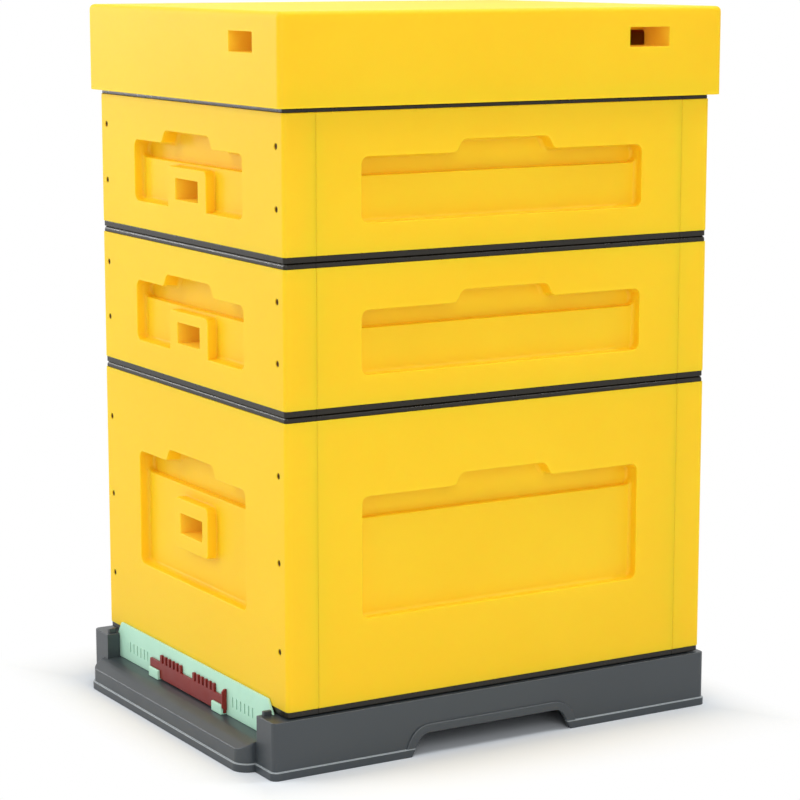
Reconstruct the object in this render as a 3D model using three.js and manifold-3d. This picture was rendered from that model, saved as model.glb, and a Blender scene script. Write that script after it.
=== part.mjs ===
// A ten-frame beehive of polystyrene boxes: bottom board, brood box, two honey supers,
// inner cover and roof. Millimetres, +Z up, entrance towards -Y, the ground at zero.
// In the hive group X and Y are counted from the middle of the stack of boxes.

import * as THREE from 'three';
import { mergeVertices } from 'three/addons/utils/BufferGeometryUtils.js';
import Module from 'manifold-3d';

const wasm = await Module();
wasm.setup();

// Clearances, cuts and facets
const sliding_gap = 0.3;
const cut_overrun = 2;
const arc_steps = 3;
const hole_sides = 10;

// Frames: wooden bars round a sheet of foundation
const frame_count = 10;
const frame_pitch = 37;
const frame_length = 435;
const brood_frame_height = 300;
const super_frame_height = 145;
const top_bar_width = 25;
const top_bar_depth = 20;
const ear_length = 17.5;
const ear_depth = 10;
const side_bar_width = 25;
const side_bar_thickness = 8;
const shoulder_width = 36.4;
const shoulder_height = 70;
const bottom_bar_width = 20;
const bottom_bar_depth = 10;
const foundation_thickness = 4;
const foundation_groove = 3;

// Boxes: the space round the frames, then the walls
const frame_end_gap = 8.5;
const frame_side_gap = 3;
const over_frame_gap = 8;
const brood_floor_gap = 14;
const super_floor_gap = 7;
const ear_end_gap = 2.5;
const end_wall_thickness = 44;
const side_wall_thickness = 37;
const corner_lap_depth = 6;
const wall_corner_radius = 5;
const rim_height = 6.3;
const rim_inset = 1;
const rim_corner_radius = 4;

// Handholds sunk into every wall: a shallow field with a deeper finger groove along its top
const recess_margin = 92;
const recess_depth = 11.5;
const groove_depth = 20;
const recess_corner_radius = 8;
const groove_corner_radius = 5;
const super_recess_drop = 47.4;
const super_recess_height = 69;
const super_groove_height = 21;
const brood_recess_drop = 86.4;
const brood_recess_height = 132.5;
const brood_groove_height = 26;
const bump_width = 124;
const bump_height = 14;
const bump_slant_width = 8;

// Slots through the front walls, each in a boss that is flush with the wall
const wall_slot_width = 55;
const wall_slot_height = 23.5;
const super_boss_width = 94;
const super_boss_height = 45;
const super_slot_rise = 20.7;
const brood_boss_width = 82;
const brood_boss_height = 57.5;
const brood_slot_rise = 66.5;
const boss_corner_radius = 6;

// Counterbores for the screws that hold the end walls to the side walls
const screw_inset = 16.5;
const screw_hole_diameter = 6.4;
const screw_hole_depth = 5;
const super_screw_rises = [48.5, 113];
const brood_screw_rises = [63, 159, 252];

// Inner cover and roof
const cover_thickness = 10;
const feed_hole_length = 120;
const feed_hole_width = 40;
const roof_height = 97.5;
const roof_lap_height = 1.5;
const roof_overhang_width = 9;
const roof_lip_gap = 2;
const roof_top_thickness = 26;
const roof_edge_radius = 6;
const roof_ledge_width = 38;
const vent_width = 53;
const vent_height = 21.5;
const vent_drop = 32.3;
const front_vent_offset = 149;
const flank_vent_offset = 180;

// Bottom board, moulded hollow from below
const base_height = 62.7;
const seat_rise = 1.3;
const seat_inset = 8;
const base_margin_width = 4.5;
const base_skin_thickness = 4;
const base_corner_radius = 6;
const flange_height = 9;
const flange_reach = 2;
const entrance_height = 28.2;
const entrance_margin_width = 38.5;
const post_reach = 19;
const landing_reach = 37;
const landing_margin_width = 34.5;
const landing_drop = 10.5;
const landing_corner_radius = 16;
const landing_edge_radius = 5;
const landing_offset = 7;
const entrance_offset = 5;
const peg_inset = 4;
const peg_width = 5;
const peg_length = 10;
const peg_height = 5.5;
const peg_groove_gap = 1.7;
const cutout_length = 208;
const cutout_height = 24.5;
const cutout_slant_width = 13;
const cutout_radius = 9;
const cutout_band_width = 10;
const rib_count = 7;
const rib_thickness = 3;

// Ventilation mesh on its ledge, and the tray under it
const mesh_ledge_width = 22;
const mesh_lap = 10;
const mesh_thickness = 1.6;
const mesh_columns = 8;
const mesh_rows = 10;
const mesh_bar_width = 3;
const tray_head_gap = 2;
const tray_rim_height = 10;
const tray_skin_thickness = 2;
const tray_end_gap = 12;
const tray_face_thickness = 4;
const tray_side_play = 0.7;
const runner_foot_width = 9;
const runner_thickness = 3;
const tray_lip_width = 90;
const tray_lip_depth = 3;

// Entrance block: a plate that stands in the post grooves and closes the gap under the brood box
const block_seat_depth = 6;
const block_thickness = 2.5;
const block_height = 42.4;
const block_chamfer_width = 11;
const block_chamfer_height = 15;
const block_groove_play = 2.5;
const block_box_gap = 0.5;
const passage_length = 130;
const passage_height = 14;
const slit_count = 6;
const slit_pitch = 9.5;
const slit_width = 1.8;
const slit_height = 12;
const slit_rise = 11.4;
const slit_group_offset = 132.5;

// Entrance slider: a strip with teeth that runs behind two hooks of the block
const strip_cover_height = 5;
const strip_thickness = 3;
const body_lap = 4;
const tail_reach_length = 3.2;
const tooth_height = 9;
const tooth_count = 6;
const tooth_width = 5;
const tooth_gap = 4.8;
const hook_length = 23.5;
const hook_height = 11;
const hook_thickness = 3;
const hook_foot_thickness = 1;
const handle_thickness = 2.5;
const handle_reach = 5.8;
const handle_height = 24;
const handle_rise_height = 4;

// Sizes that follow from the ones above
const inner_width = frame_count * frame_pitch + 2 * frame_side_gap;
const inner_length = frame_length + 2 * frame_end_gap;
const box_width = inner_width + 2 * side_wall_thickness;
const box_length = inner_length + 2 * end_wall_thickness;
const seam_depth = end_wall_thickness - corner_lap_depth;
const top_bar_length = frame_length + 2 * ear_length;
const ear_rebate_length = top_bar_length + 2 * ear_end_gap;
const base_width = box_width + 2 * base_margin_width;
const base_back = box_length / 2 + base_margin_width;
const post_front = -box_length / 2 - post_reach;
const landing_front = -box_length / 2 - landing_reach;
const hive_front = landing_front - flange_reach;
const hive_back = box_length / 2 + roof_overhang_width;
const stack_y = (hive_front + hive_back) / -2;
const entrance_width = base_width - 2 * entrance_margin_width;
const seat_top = base_height + seat_rise;
const floor_top = base_height - entrance_height;
const floor_bottom = floor_top - base_skin_thickness;
const landing_top = floor_top - landing_drop;
const block_length = entrance_width + 2 * block_seat_depth;
const block_front = -box_length / 2 - block_box_gap - block_thickness;
const block_bottom = floor_top + sliding_gap;
const groove_front = block_front - sliding_gap;
const groove_back = block_front + block_thickness + sliding_gap;
const body_length = passage_length + 2 * body_lap;
const strip_front = block_front - sliding_gap - strip_thickness;
const strip_bottom = block_bottom + hook_foot_thickness + sliding_gap;
const strip_top = strip_bottom + passage_height + strip_cover_height;
const mesh_width = entrance_width - 2 * mesh_lap;
const mesh_back = inner_length / 2 - mesh_lap;
const mesh_front = -inner_length / 2 + mesh_lap;
const tray_top = floor_bottom - tray_head_gap;
const tray_bottom = tray_top - tray_rim_height;
const tray_width = mesh_width;

const axis_x = new THREE.Vector3(1, 0, 0);
const axis_y = new THREE.Vector3(0, 1, 0);
const axis_z = new THREE.Vector3(0, 0, 1);
const minus_x = new THREE.Vector3(-1, 0, 0);
const minus_y = new THREE.Vector3(0, -1, 0);

// The four faces of a box: the way across the wall, seen from outside, and the way out
const faces = {
  front: { across: axis_x, out: minus_y, reach: box_length / 2, width: box_width },
  back: { across: minus_x, out: axis_y, reach: box_length / 2, width: box_width },
  right: { across: axis_y, out: axis_x, reach: box_width / 2, width: box_length },
  left: { across: minus_y, out: minus_x, reach: box_width / 2, width: box_length },
};

// Closed geometry to a solid that can be joined and cut
function solid(geometry) {
  const bare = geometry.clone();
  bare.deleteAttribute('normal');
  bare.deleteAttribute('uv');
  const merged = mergeVertices(bare);
  return new wasm.Manifold(new wasm.Mesh({
    numProp: 3,
    vertProperties: new Float32Array(merged.attributes.position.array),
    triVerts: new Uint32Array(merged.index.array),
  }));
}

function toGeometry(shape_solid) {
  const mesh = shape_solid.getMesh();
  const geometry = new THREE.BufferGeometry();
  geometry.setAttribute('position', new THREE.BufferAttribute(new Float32Array(mesh.vertProperties), 3));
  geometry.setIndex(new THREE.BufferAttribute(new Uint32Array(mesh.triVerts), 1));
  geometry.computeVertexNormals();
  return geometry;
}

function joinAll(solids) {
  return solids.reduce((whole, next) => whole.add(next));
}

function cutAll(body, cuts) {
  return cuts.reduce((rest, cut) => rest.subtract(cut), body);
}

// A block between two corners
function block(x, y, z) {
  const geometry = new THREE.BoxGeometry(x[1] - x[0], y[1] - y[0], z[1] - z[0]);
  geometry.translate((x[0] + x[1]) / 2, (y[0] + y[1]) / 2, (z[0] + z[1]) / 2);
  return solid(geometry);
}

function span(half) {
  return [-half, half];
}

function ordered(a, b) {
  return [Math.min(a, b), Math.max(a, b)];
}

// An outline through corner points [x, y, radius]; a corner with a radius is rounded
function outline(corners) {
  const shape = new THREE.Shape();
  const vectors = corners.map((corner) => new THREE.Vector2(corner[0], corner[1]));
  corners.forEach((corner, i) => {
    const here = vectors[i];
    const radius = corner[2] || 0;
    const before = vectors[(i + corners.length - 1) % corners.length];
    const after = vectors[(i + 1) % corners.length];
    const start = here.clone().add(before.clone().sub(here).setLength(radius));
    const end = here.clone().add(after.clone().sub(here).setLength(radius));
    if (i === 0) {
      shape.moveTo(start.x, start.y);
    } else {
      shape.lineTo(start.x, start.y);
    }
    if (radius > 0) {
      shape.quadraticCurveTo(here.x, here.y, end.x, end.y);
    }
  });
  shape.closePath();
  return shape;
}

function rectangle(x, y, radius) {
  return outline([[x[0], y[0], radius], [x[1], y[0], radius], [x[1], y[1], radius], [x[0], y[1], radius]]);
}

// A shape drawn on the axes u and v, extruded along their cross product
function prism(shape, u, v, start, end) {
  const w = new THREE.Vector3().crossVectors(u, v);
  const options = { depth: end - start, bevelEnabled: false, curveSegments: arc_steps };
  const geometry = new THREE.ExtrudeGeometry(shape, options);
  const place = new THREE.Matrix4().makeBasis(u, v, w).setPosition(w.clone().multiplyScalar(start));
  geometry.applyMatrix4(place);
  return solid(geometry);
}

function slab(shape, bottom, top) {
  return prism(shape, axis_x, axis_y, bottom, top);
}

function faceCut(face, shape, depth) {
  return prism(shape, face.across, axis_z, face.reach - depth, face.reach + cut_overrun);
}

// The finishes
function painted() {
  return new THREE.MeshStandardMaterial({ color: 0xfbcb2e, roughness: 0.55, metalness: 0 });
}

function rimPlastic() {
  return new THREE.MeshStandardMaterial({ color: 0x23262a, roughness: 0.35, metalness: 0 });
}

function basePlastic() {
  return new THREE.MeshStandardMaterial({ color: 0x54585d, roughness: 0.35, metalness: 0 });
}

function mintPlastic() {
  return new THREE.MeshStandardMaterial({ color: 0xb9ead0, roughness: 0.5, metalness: 0 });
}

function redPlastic() {
  return new THREE.MeshStandardMaterial({ color: 0x8a2424, roughness: 0.45, metalness: 0 });
}

function coverPlastic() {
  return new THREE.MeshStandardMaterial({ color: 0xdfe2e0, roughness: 0.5, metalness: 0 });
}

function trayPlastic() {
  return new THREE.MeshStandardMaterial({ color: 0x2d3033, roughness: 0.5, metalness: 0 });
}

function meshSteel() {
  return new THREE.MeshStandardMaterial({ color: 0xa9adb0, roughness: 0.4, metalness: 0.9 });
}

function frameWood() {
  return new THREE.MeshStandardMaterial({ color: 0xd9b988, roughness: 0.75, metalness: 0 });
}

function piece(name, shape_solid, material) {
  const mesh = new THREE.Mesh(toGeometry(shape_solid), material);
  mesh.name = name;
  return mesh;
}

// What differs between the brood box and a super
const brood_kind = {
  frame_height: brood_frame_height,
  floor_gap: brood_floor_gap,
  recess_drop: brood_recess_drop,
  recess_height: brood_recess_height,
  groove_height: brood_groove_height,
  boss_width: brood_boss_width,
  boss_height: brood_boss_height,
  slot_rise: brood_slot_rise,
  boss_stands_clear: true,
  screw_rises: brood_screw_rises,
};
const super_kind = {
  frame_height: super_frame_height,
  floor_gap: super_floor_gap,
  recess_drop: super_recess_drop,
  recess_height: super_recess_height,
  groove_height: super_groove_height,
  boss_width: super_boss_width,
  boss_height: super_boss_height,
  slot_rise: super_slot_rise,
  boss_stands_clear: false,
  screw_rises: super_screw_rises,
};

// Heights of one box, from the level that it stands on
function levels(kind, bottom) {
  const pitch = kind.floor_gap + kind.frame_height + over_frame_gap;
  return {
    bottom,
    wall_bottom: bottom + rim_height,
    wall_top: bottom + pitch - rim_height,
    top: bottom + pitch,
    frame_top: bottom + pitch - over_frame_gap,
    ear_bottom: bottom + pitch - over_frame_gap - ear_depth,
  };
}

// The handhold: its whole field with the bump over it, and the deeper groove along the top
function recessShape(kind, face, level) {
  const half = face.width / 2 - recess_margin;
  const top = level.wall_top - kind.recess_drop;
  const bottom = top - kind.recess_height;
  return outline([
    [-half, bottom, recess_corner_radius],
    [half, bottom, recess_corner_radius],
    [half, top, recess_corner_radius],
    [bump_width / 2, top],
    [bump_width / 2 - bump_slant_width, top + bump_height, groove_corner_radius],
    [bump_slant_width - bump_width / 2, top + bump_height, groove_corner_radius],
    [-bump_width / 2, top],
    [-half, top, recess_corner_radius],
  ]);
}

function grooveShape(kind, face, level) {
  const half = face.width / 2 - recess_margin;
  const top = level.wall_top - kind.recess_drop;
  const bottom = top - kind.groove_height;
  return outline([
    [-half, bottom],
    [half, bottom],
    [half, top, recess_corner_radius],
    [bump_width / 2, top],
    [bump_width / 2 - bump_slant_width, top + bump_height, groove_corner_radius],
    [bump_slant_width - bump_width / 2, top + bump_height, groove_corner_radius],
    [-bump_width / 2, top],
    [-half, top, recess_corner_radius],
  ]);
}

function handhold(kind, face, level) {
  const field = faceCut(face, recessShape(kind, face, level), recess_depth);
  const groove = faceCut(face, grooveShape(kind, face, level), groove_depth);
  return field.add(groove);
}

// The boss that carries the slot: it grows out of a super's lower edge and stands clear on
// the brood box
function bossShape(kind, level) {
  const field_bottom = level.wall_top - kind.recess_drop - kind.recess_height;
  const slot_middle = field_bottom + kind.slot_rise;
  const half = kind.boss_width / 2;
  if (kind.boss_stands_clear) {
    const z = [slot_middle - kind.boss_height / 2, slot_middle + kind.boss_height / 2];
    return rectangle(span(half), z, boss_corner_radius);
  }
  const top = field_bottom + kind.boss_height;
  return outline([
    [-half, field_bottom - cut_overrun],
    [half, field_bottom - cut_overrun],
    [half, top, boss_corner_radius],
    [-half, top, boss_corner_radius],
  ]);
}

function wallSlot(kind, face, level) {
  const middle = level.wall_top - kind.recess_drop - kind.recess_height + kind.slot_rise;
  const z = [middle - wall_slot_height / 2, middle + wall_slot_height / 2];
  return faceCut(face, rectangle(span(wall_slot_width / 2), z, 0), end_wall_thickness + cut_overrun);
}

function screwHoles(kind, face, level) {
  const across = face.width / 2 - screw_inset;
  const radius = screw_hole_diameter / 2;
  const length = screw_hole_depth + cut_overrun;
  return [-across, across].flatMap((u) => kind.screw_rises.map((rise) => {
    const hole = new THREE.CylinderGeometry(radius, radius, length, hole_sides);
    const centre = face.across.clone().multiplyScalar(u);
    centre.addScaledVector(face.out, face.reach + (cut_overrun - screw_hole_depth) / 2);
    centre.z = level.wall_bottom + rise;
    hole.translate(centre.x, centre.y, centre.z);
    return solid(hole);
  }));
}

// A front or back wall runs the full width and is thinner at its ends, where the side walls lap it
function endWall(kind, face, level, has_slot) {
  const toward = face.out.y;
  const outer = toward * face.reach;
  const seam = toward * (face.reach - seam_depth);
  const inner = toward * (face.reach - end_wall_thickness);
  const half = face.width / 2;
  const inner_half = inner_width / 2;
  const plan = outline([
    [-half, outer, wall_corner_radius],
    [half, outer, wall_corner_radius],
    [half, seam],
    [inner_half, seam],
    [inner_half, inner],
    [-inner_half, inner],
    [-inner_half, seam],
    [-half, seam],
  ]);
  const panel = slab(plan, level.wall_bottom, level.wall_top);
  const rebate_y = ordered(inner - toward * cut_overrun, toward * ear_rebate_length / 2);
  const rebate = block(span(inner_half), rebate_y, [level.ear_bottom, level.wall_top + cut_overrun]);
  let sunk = handhold(kind, face, level);
  if (has_slot) {
    const boss = faceCut(face, bossShape(kind, level), groove_depth + cut_overrun);
    sunk = sunk.subtract(boss).add(wallSlot(kind, face, level));
  }
  return cutAll(panel, [rebate, sunk, ...screwHoles(kind, face, level)]);
}

// A side wall is a plain board between the end walls
function sideWall(kind, face, level) {
  const toward = face.out.x;
  const x = ordered(toward * (face.reach - side_wall_thickness), toward * face.reach);
  const panel = block(x, span(box_length / 2 - seam_depth), [level.wall_bottom, level.wall_top]);
  return panel.subtract(handhold(kind, face, level));
}

// A plastic rim that protects an edge of the box; the upper one is open over the ears of the frames
function rim(bottom, opening_length) {
  const x = span(box_width / 2 - rim_inset);
  const y = span(box_length / 2 - rim_inset);
  const ring = slab(rectangle(x, y, rim_corner_radius), bottom, bottom + rim_height);
  const opening_z = [bottom - cut_overrun, bottom + rim_height + cut_overrun];
  return ring.subtract(block(span(inner_width / 2), span(opening_length / 2), opening_z));
}

// A frame, drawn with its top at zero
function frameSolid(height) {
  const bar_half = top_bar_width / 2;
  const end = frame_length / 2;
  const bars = [
    block(span(bar_half), span(end), [-top_bar_depth, 0]),
    block(span(bar_half), span(top_bar_length / 2), [-ear_depth, 0]),
    block(span(bottom_bar_width / 2), span(end), [-height, bottom_bar_depth - height]),
  ];
  const sheet_z = [bottom_bar_depth - height - foundation_groove, foundation_groove - top_bar_depth];
  const sheet_y = span(end - side_bar_thickness + foundation_groove);
  bars.push(block(span(foundation_thickness / 2), sheet_y, sheet_z));
  for (const side of [-1, 1]) {
    const y = ordered(side * (end - side_bar_thickness), side * end);
    bars.push(block(span(side_bar_width / 2), y, [-height, -ear_depth]));
    bars.push(block(span(shoulder_width / 2), y, [-ear_depth - shoulder_height, -ear_depth]));
  }
  return joinAll(bars);
}

function hangFrames(box_name, kind, level) {
  const geometry = toGeometry(frameSolid(kind.frame_height));
  return Array.from({ length: frame_count }, (_, i) => {
    const mesh = new THREE.Mesh(geometry, frameWood());
    mesh.name = `${box_name}_frame_${String(i + 1).padStart(2, '0')}`;
    mesh.position.set((i - (frame_count - 1) / 2) * frame_pitch, 0, level.frame_top);
    return mesh;
  });
}

function makeBox(name, kind, level) {
  const box = new THREE.Group();
  box.add(piece(`${name}_front_wall`, endWall(kind, faces.front, level, true), painted()));
  box.add(piece(`${name}_back_wall`, endWall(kind, faces.back, level, false), painted()));
  box.add(piece(`${name}_left_wall`, sideWall(kind, faces.left, level), painted()));
  box.add(piece(`${name}_right_wall`, sideWall(kind, faces.right, level), painted()));
  box.add(piece(`${name}_bottom_rim`, rim(level.bottom, inner_length), rimPlastic()));
  box.add(piece(`${name}_top_rim`, rim(level.wall_top, ear_rebate_length), rimPlastic()));
  box.add(...hangFrames(name, kind, level));
  return box;
}

// Inner cover: a board over the top super, with a feeding hole
function innerCover(bottom) {
  const x = span(box_width / 2 - rim_inset);
  const y = span(box_length / 2 - rim_inset);
  const board = slab(rectangle(x, y, rim_corner_radius), bottom, bottom + cover_thickness);
  const hole = rectangle(span(feed_hole_width / 2), span(feed_hole_length / 2), feed_hole_width / 2);
  return board.subtract(slab(hole, bottom - cut_overrun, bottom + cover_thickness + cut_overrun));
}

// The roof's outline seen along one side, with its upper edges rounded
function roundedTop(half, bottom, top) {
  return outline([
    [-half, bottom],
    [half, bottom],
    [half, top, roof_edge_radius],
    [-half, top, roof_edge_radius],
  ]);
}

// Roof: rests on the inner cover, laps the rim below it, and has a vent through each side
function roofShell(cover_bottom) {
  const bottom = cover_bottom - roof_lap_height;
  const top = bottom + roof_height;
  const half_x = box_width / 2 + roof_overhang_width;
  const half_y = box_length / 2 + roof_overhang_width;
  const plan = rectangle(span(half_x), span(half_y), roof_edge_radius);
  const shell = slab(plan, bottom, top)
    .intersect(prism(roundedTop(half_x, bottom, top), axis_x, axis_z, -half_y, half_y))
    .intersect(prism(roundedTop(half_y, bottom, top), axis_y, axis_z, -half_x, half_x));
  const lip_x = span(box_width / 2 + roof_lip_gap);
  const lip_y = span(box_length / 2 + roof_lip_gap);
  const ledge_z = cover_bottom + cover_thickness;
  const cavity_x = span(box_width / 2 - roof_ledge_width);
  const cavity_y = span(box_length / 2 - roof_ledge_width);
  const under = bottom - cut_overrun;
  const cuts = [
    block(lip_x, lip_y, [under, ledge_z]),
    block(cavity_x, cavity_y, [under, top - roof_top_thickness]),
  ];
  const vent_z = [top - vent_drop - vent_height / 2, top - vent_drop + vent_height / 2];
  for (const [face, offset, inside] of [
    [faces.front, front_vent_offset, cavity_y[1]],
    [faces.right, flank_vent_offset, cavity_x[1]],
    [faces.back, front_vent_offset, cavity_y[1]],
    [faces.left, flank_vent_offset, cavity_x[1]],
  ]) {
    const u = [offset - vent_width / 2, offset + vent_width / 2];
    const outside = face.reach + roof_overhang_width + cut_overrun;
    cuts.push(prism(rectangle(u, vent_z, 0), face.across, axis_z, inside - cut_overrun, outside));
  }
  return cutAll(shell, cuts);
}

// Bottom board: the outside with its posts, flange and landing, and the ledge that the brood
// box stands on
function baseOutside() {
  const x = span(base_width / 2);
  const body = slab(rectangle(x, [post_front, base_back], base_corner_radius), 0, base_height);
  const flange_x = span(base_width / 2 + flange_reach);
  const flange_y = [post_front - flange_reach, base_back + flange_reach];
  const flange_radius = base_corner_radius + flange_reach;
  const flange = slab(rectangle(flange_x, flange_y, flange_radius), 0, flange_height);
  const seat_x = span(box_width / 2 - seat_inset);
  const seat_y = span(box_length / 2 - seat_inset);
  const seat = slab(rectangle(seat_x, seat_y, rim_corner_radius), floor_top, seat_top);
  return joinAll([body, flange, seat, landing(), ...postPegs(), ...cutoutBands()]);
}

// A small peg on each post, in front of the groove's end
function postPegs() {
  const inner = entrance_width / 2 + peg_inset;
  const back = groove_front - peg_groove_gap;
  return [-1, 1].map((side) => {
    const x = ordered(side * inner, side * (inner + peg_width));
    return block(x, [back - peg_length, back], [floor_top, base_height + peg_height]);
  });
}

// The landing seen from the side, drawn lower by a skin for the room under it
function landingProfile(bottom, skin, edge_radius) {
  return outline([
    [landing_front, bottom],
    [landing_front, landing_top - skin, edge_radius],
    [post_front, floor_top - skin],
    [groove_back, floor_top - skin],
    [groove_back, bottom],
  ]);
}

// The landing: a sloping lip in front of the posts, a little off the middle
function landing() {
  const half = base_width / 2 - landing_margin_width;
  const x = [-landing_offset - half, half - landing_offset];
  const profile = landingProfile(0, 0, landing_edge_radius);
  const plan = rectangle(x, [landing_front, -inner_length / 2], landing_corner_radius);
  const board = slab(plan, 0, floor_top).intersect(prism(profile, axis_y, axis_z, x[0], x[1]));
  const flange_x = [x[0] - flange_reach, x[1] + flange_reach];
  const flange_radius = landing_corner_radius + flange_reach;
  const flange_plan = rectangle(flange_x, [hive_front, -inner_length / 2], flange_radius);
  return board.add(slab(flange_plan, 0, flange_height));
}

// The opening in each side, drawn on Y and Z; grown by the band that frames it
function cutoutShape(grow) {
  const middle = (landing_front + base_back) / 2;
  const low = cutout_length / 2 + grow;
  const high = low - cutout_slant_width;
  const top = cutout_height + grow;
  return outline([
    [middle - low, -cut_overrun],
    [middle + low, -cut_overrun],
    [middle + low, 0],
    [middle + high, top, cutout_radius + grow],
    [middle - high, top, cutout_radius + grow],
    [middle - low, 0],
  ]);
}

function cutoutBands() {
  const above_ground = block(span(base_width), [landing_front, base_back], [0, base_height]);
  const inside = base_width / 2 - base_skin_thickness;
  const outside = base_width / 2 + flange_reach;
  return [-1, 1].map((side) => {
    const x = ordered(side * inside, side * outside);
    return prism(cutoutShape(cutout_band_width), axis_y, axis_z, x[0], x[1]).intersect(above_ground);
  });
}

function cutouts() {
  const inside = base_width / 2 - base_skin_thickness - cut_overrun;
  const outside = base_width / 2 + flange_reach + cut_overrun;
  return [-1, 1].map((side) => {
    const x = ordered(side * inside, side * outside);
    return prism(cutoutShape(0), axis_y, axis_z, x[0], x[1]);
  });
}

// The space above the floor: the passage between the posts and the well over the mesh
function entranceSpace() {
  const passage = block(
    span(entrance_width / 2),
    [post_front - cut_overrun, inner_length / 2],
    [floor_top, seat_top + cut_overrun],
  );
  const mesh_window = block(
    span(mesh_width / 2 - mesh_ledge_width + mesh_lap),
    [mesh_front + mesh_lap, mesh_back - mesh_lap],
    [-cut_overrun, floor_top + cut_overrun],
  );
  return [passage, mesh_window];
}

// A length cut into equal cells with ribs between them
function cells(start, end) {
  const step = (end - start + rib_thickness) / rib_count;
  return Array.from({ length: rib_count }, (_, i) => {
    const near = start + i * step;
    return [near, near + step - rib_thickness];
  });
}

// The hollow underside: a room under the floor and the landing, and cells with ribs between them
// under the deck
function underside() {
  const room_x = span(base_width / 2 - base_skin_thickness);
  const room_y = [post_front + base_skin_thickness, base_back - base_skin_thickness];
  const landing_half = base_width / 2 - landing_margin_width - base_skin_thickness;
  const landing_x = [-landing_offset - landing_half, landing_half - landing_offset];
  const landing_y = [landing_front + base_skin_thickness, room_y[0] + landing_corner_radius];
  const landing_plan = rectangle(landing_x, landing_y, landing_corner_radius - base_skin_thickness);
  const landing_side = landingProfile(-cut_overrun, base_skin_thickness, 0);
  const under_landing = slab(landing_plan, -cut_overrun, floor_bottom)
    .intersect(prism(landing_side, axis_y, axis_z, landing_x[0], landing_x[1]));
  const rooms = [block(room_x, room_y, [-cut_overrun, floor_bottom]), under_landing];
  const deck_z = [floor_bottom - cut_overrun, base_height - base_skin_thickness];
  const inner_x = entrance_width / 2 + base_skin_thickness;
  const post_cell = [room_y[0], groove_front - base_skin_thickness];
  const side_cells = [post_cell, ...cells(groove_back + base_skin_thickness, room_y[1])];
  for (const y of side_cells) {
    rooms.push(block([inner_x, room_x[1]], y, deck_z));
    rooms.push(block([room_x[0], -inner_x], y, deck_z));
  }
  const back_y = [inner_length / 2 + base_skin_thickness, room_y[1]];
  for (const x of cells(rib_thickness - inner_x, inner_x - rib_thickness)) {
    rooms.push(block(x, back_y, deck_z));
  }
  return rooms;
}

// Grooves in the posts, open at the top, that the entrance block stands in
function postGrooves() {
  const half = block_length / 2 + block_groove_play;
  return block(span(half), [groove_front, groove_back], [floor_top, base_height + cut_overrun]);
}

// Runners under the floor, on both sides of the tray
function runners() {
  const inside = tray_width / 2 + tray_side_play;
  const y = [mesh_front, base_back - base_skin_thickness];
  const foot_top = tray_bottom - sliding_gap;
  return [-1, 1].flatMap((side) => {
    const web_x = ordered(side * inside, side * (inside + runner_thickness));
    const foot_x = ordered(side * (inside - runner_foot_width), side * (inside + runner_thickness));
    return [
      block(web_x, y, [foot_top - runner_thickness, floor_bottom + cut_overrun / 2]),
      block(foot_x, y, [foot_top - runner_thickness, foot_top]),
    ];
  });
}

function trayDoor() {
  const x = span(tray_width / 2 + tray_side_play);
  const y = [base_back - base_skin_thickness - cut_overrun, base_back + flange_reach + cut_overrun];
  return block(x, y, [tray_bottom - sliding_gap, tray_top + sliding_gap]);
}

function bottomBoard() {
  const hollowed = cutAll(baseOutside(), [...entranceSpace(), ...underside(), ...cutouts(), postGrooves()]);
  return joinAll([hollowed, ...runners()]).subtract(trayDoor());
}

// Ventilation mesh: a thin sheet with a grid of openings
function ventilationMesh() {
  const x = span(mesh_width / 2);
  const y = [mesh_front, mesh_back];
  const sheet = block(x, y, [floor_top, floor_top + mesh_thickness]);
  const step_x = (mesh_width - 2 * mesh_ledge_width) / mesh_columns;
  const step_y = (mesh_back - mesh_front - 2 * mesh_ledge_width) / mesh_rows;
  const z = [floor_top - cut_overrun, floor_top + mesh_thickness + cut_overrun];
  const holes = [];
  for (let i = 0; i < mesh_columns; i += 1) {
    for (let j = 0; j < mesh_rows; j += 1) {
      const left = x[0] + mesh_ledge_width + i * step_x;
      const near = y[0] + mesh_ledge_width + j * step_y;
      const hole_x = [left + mesh_bar_width, left + step_x - mesh_bar_width];
      const hole_y = [near + mesh_bar_width, near + step_y - mesh_bar_width];
      holes.push(block(hole_x, hole_y, z));
    }
  }
  return cutAll(sheet, holes);
}

// Inspection tray: a shallow pan with a face that closes its door in the back
function inspectionTray() {
  const half = tray_width / 2;
  const y = [mesh_front + tray_end_gap, base_back];
  const pan = block(span(half), y, [tray_bottom, tray_top]);
  const pan_y = [y[0] + tray_skin_thickness, y[1] - tray_face_thickness];
  const skin_top = tray_bottom + tray_skin_thickness;
  const hollow = block(span(half - tray_skin_thickness), pan_y, [skin_top, tray_top + cut_overrun]);
  const lip_y = [base_back - tray_skin_thickness, base_back + tray_lip_depth];
  const lip = block(span(tray_lip_width / 2), lip_y, [tray_bottom, skin_top]);
  return pan.subtract(hollow).add(lip);
}

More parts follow.
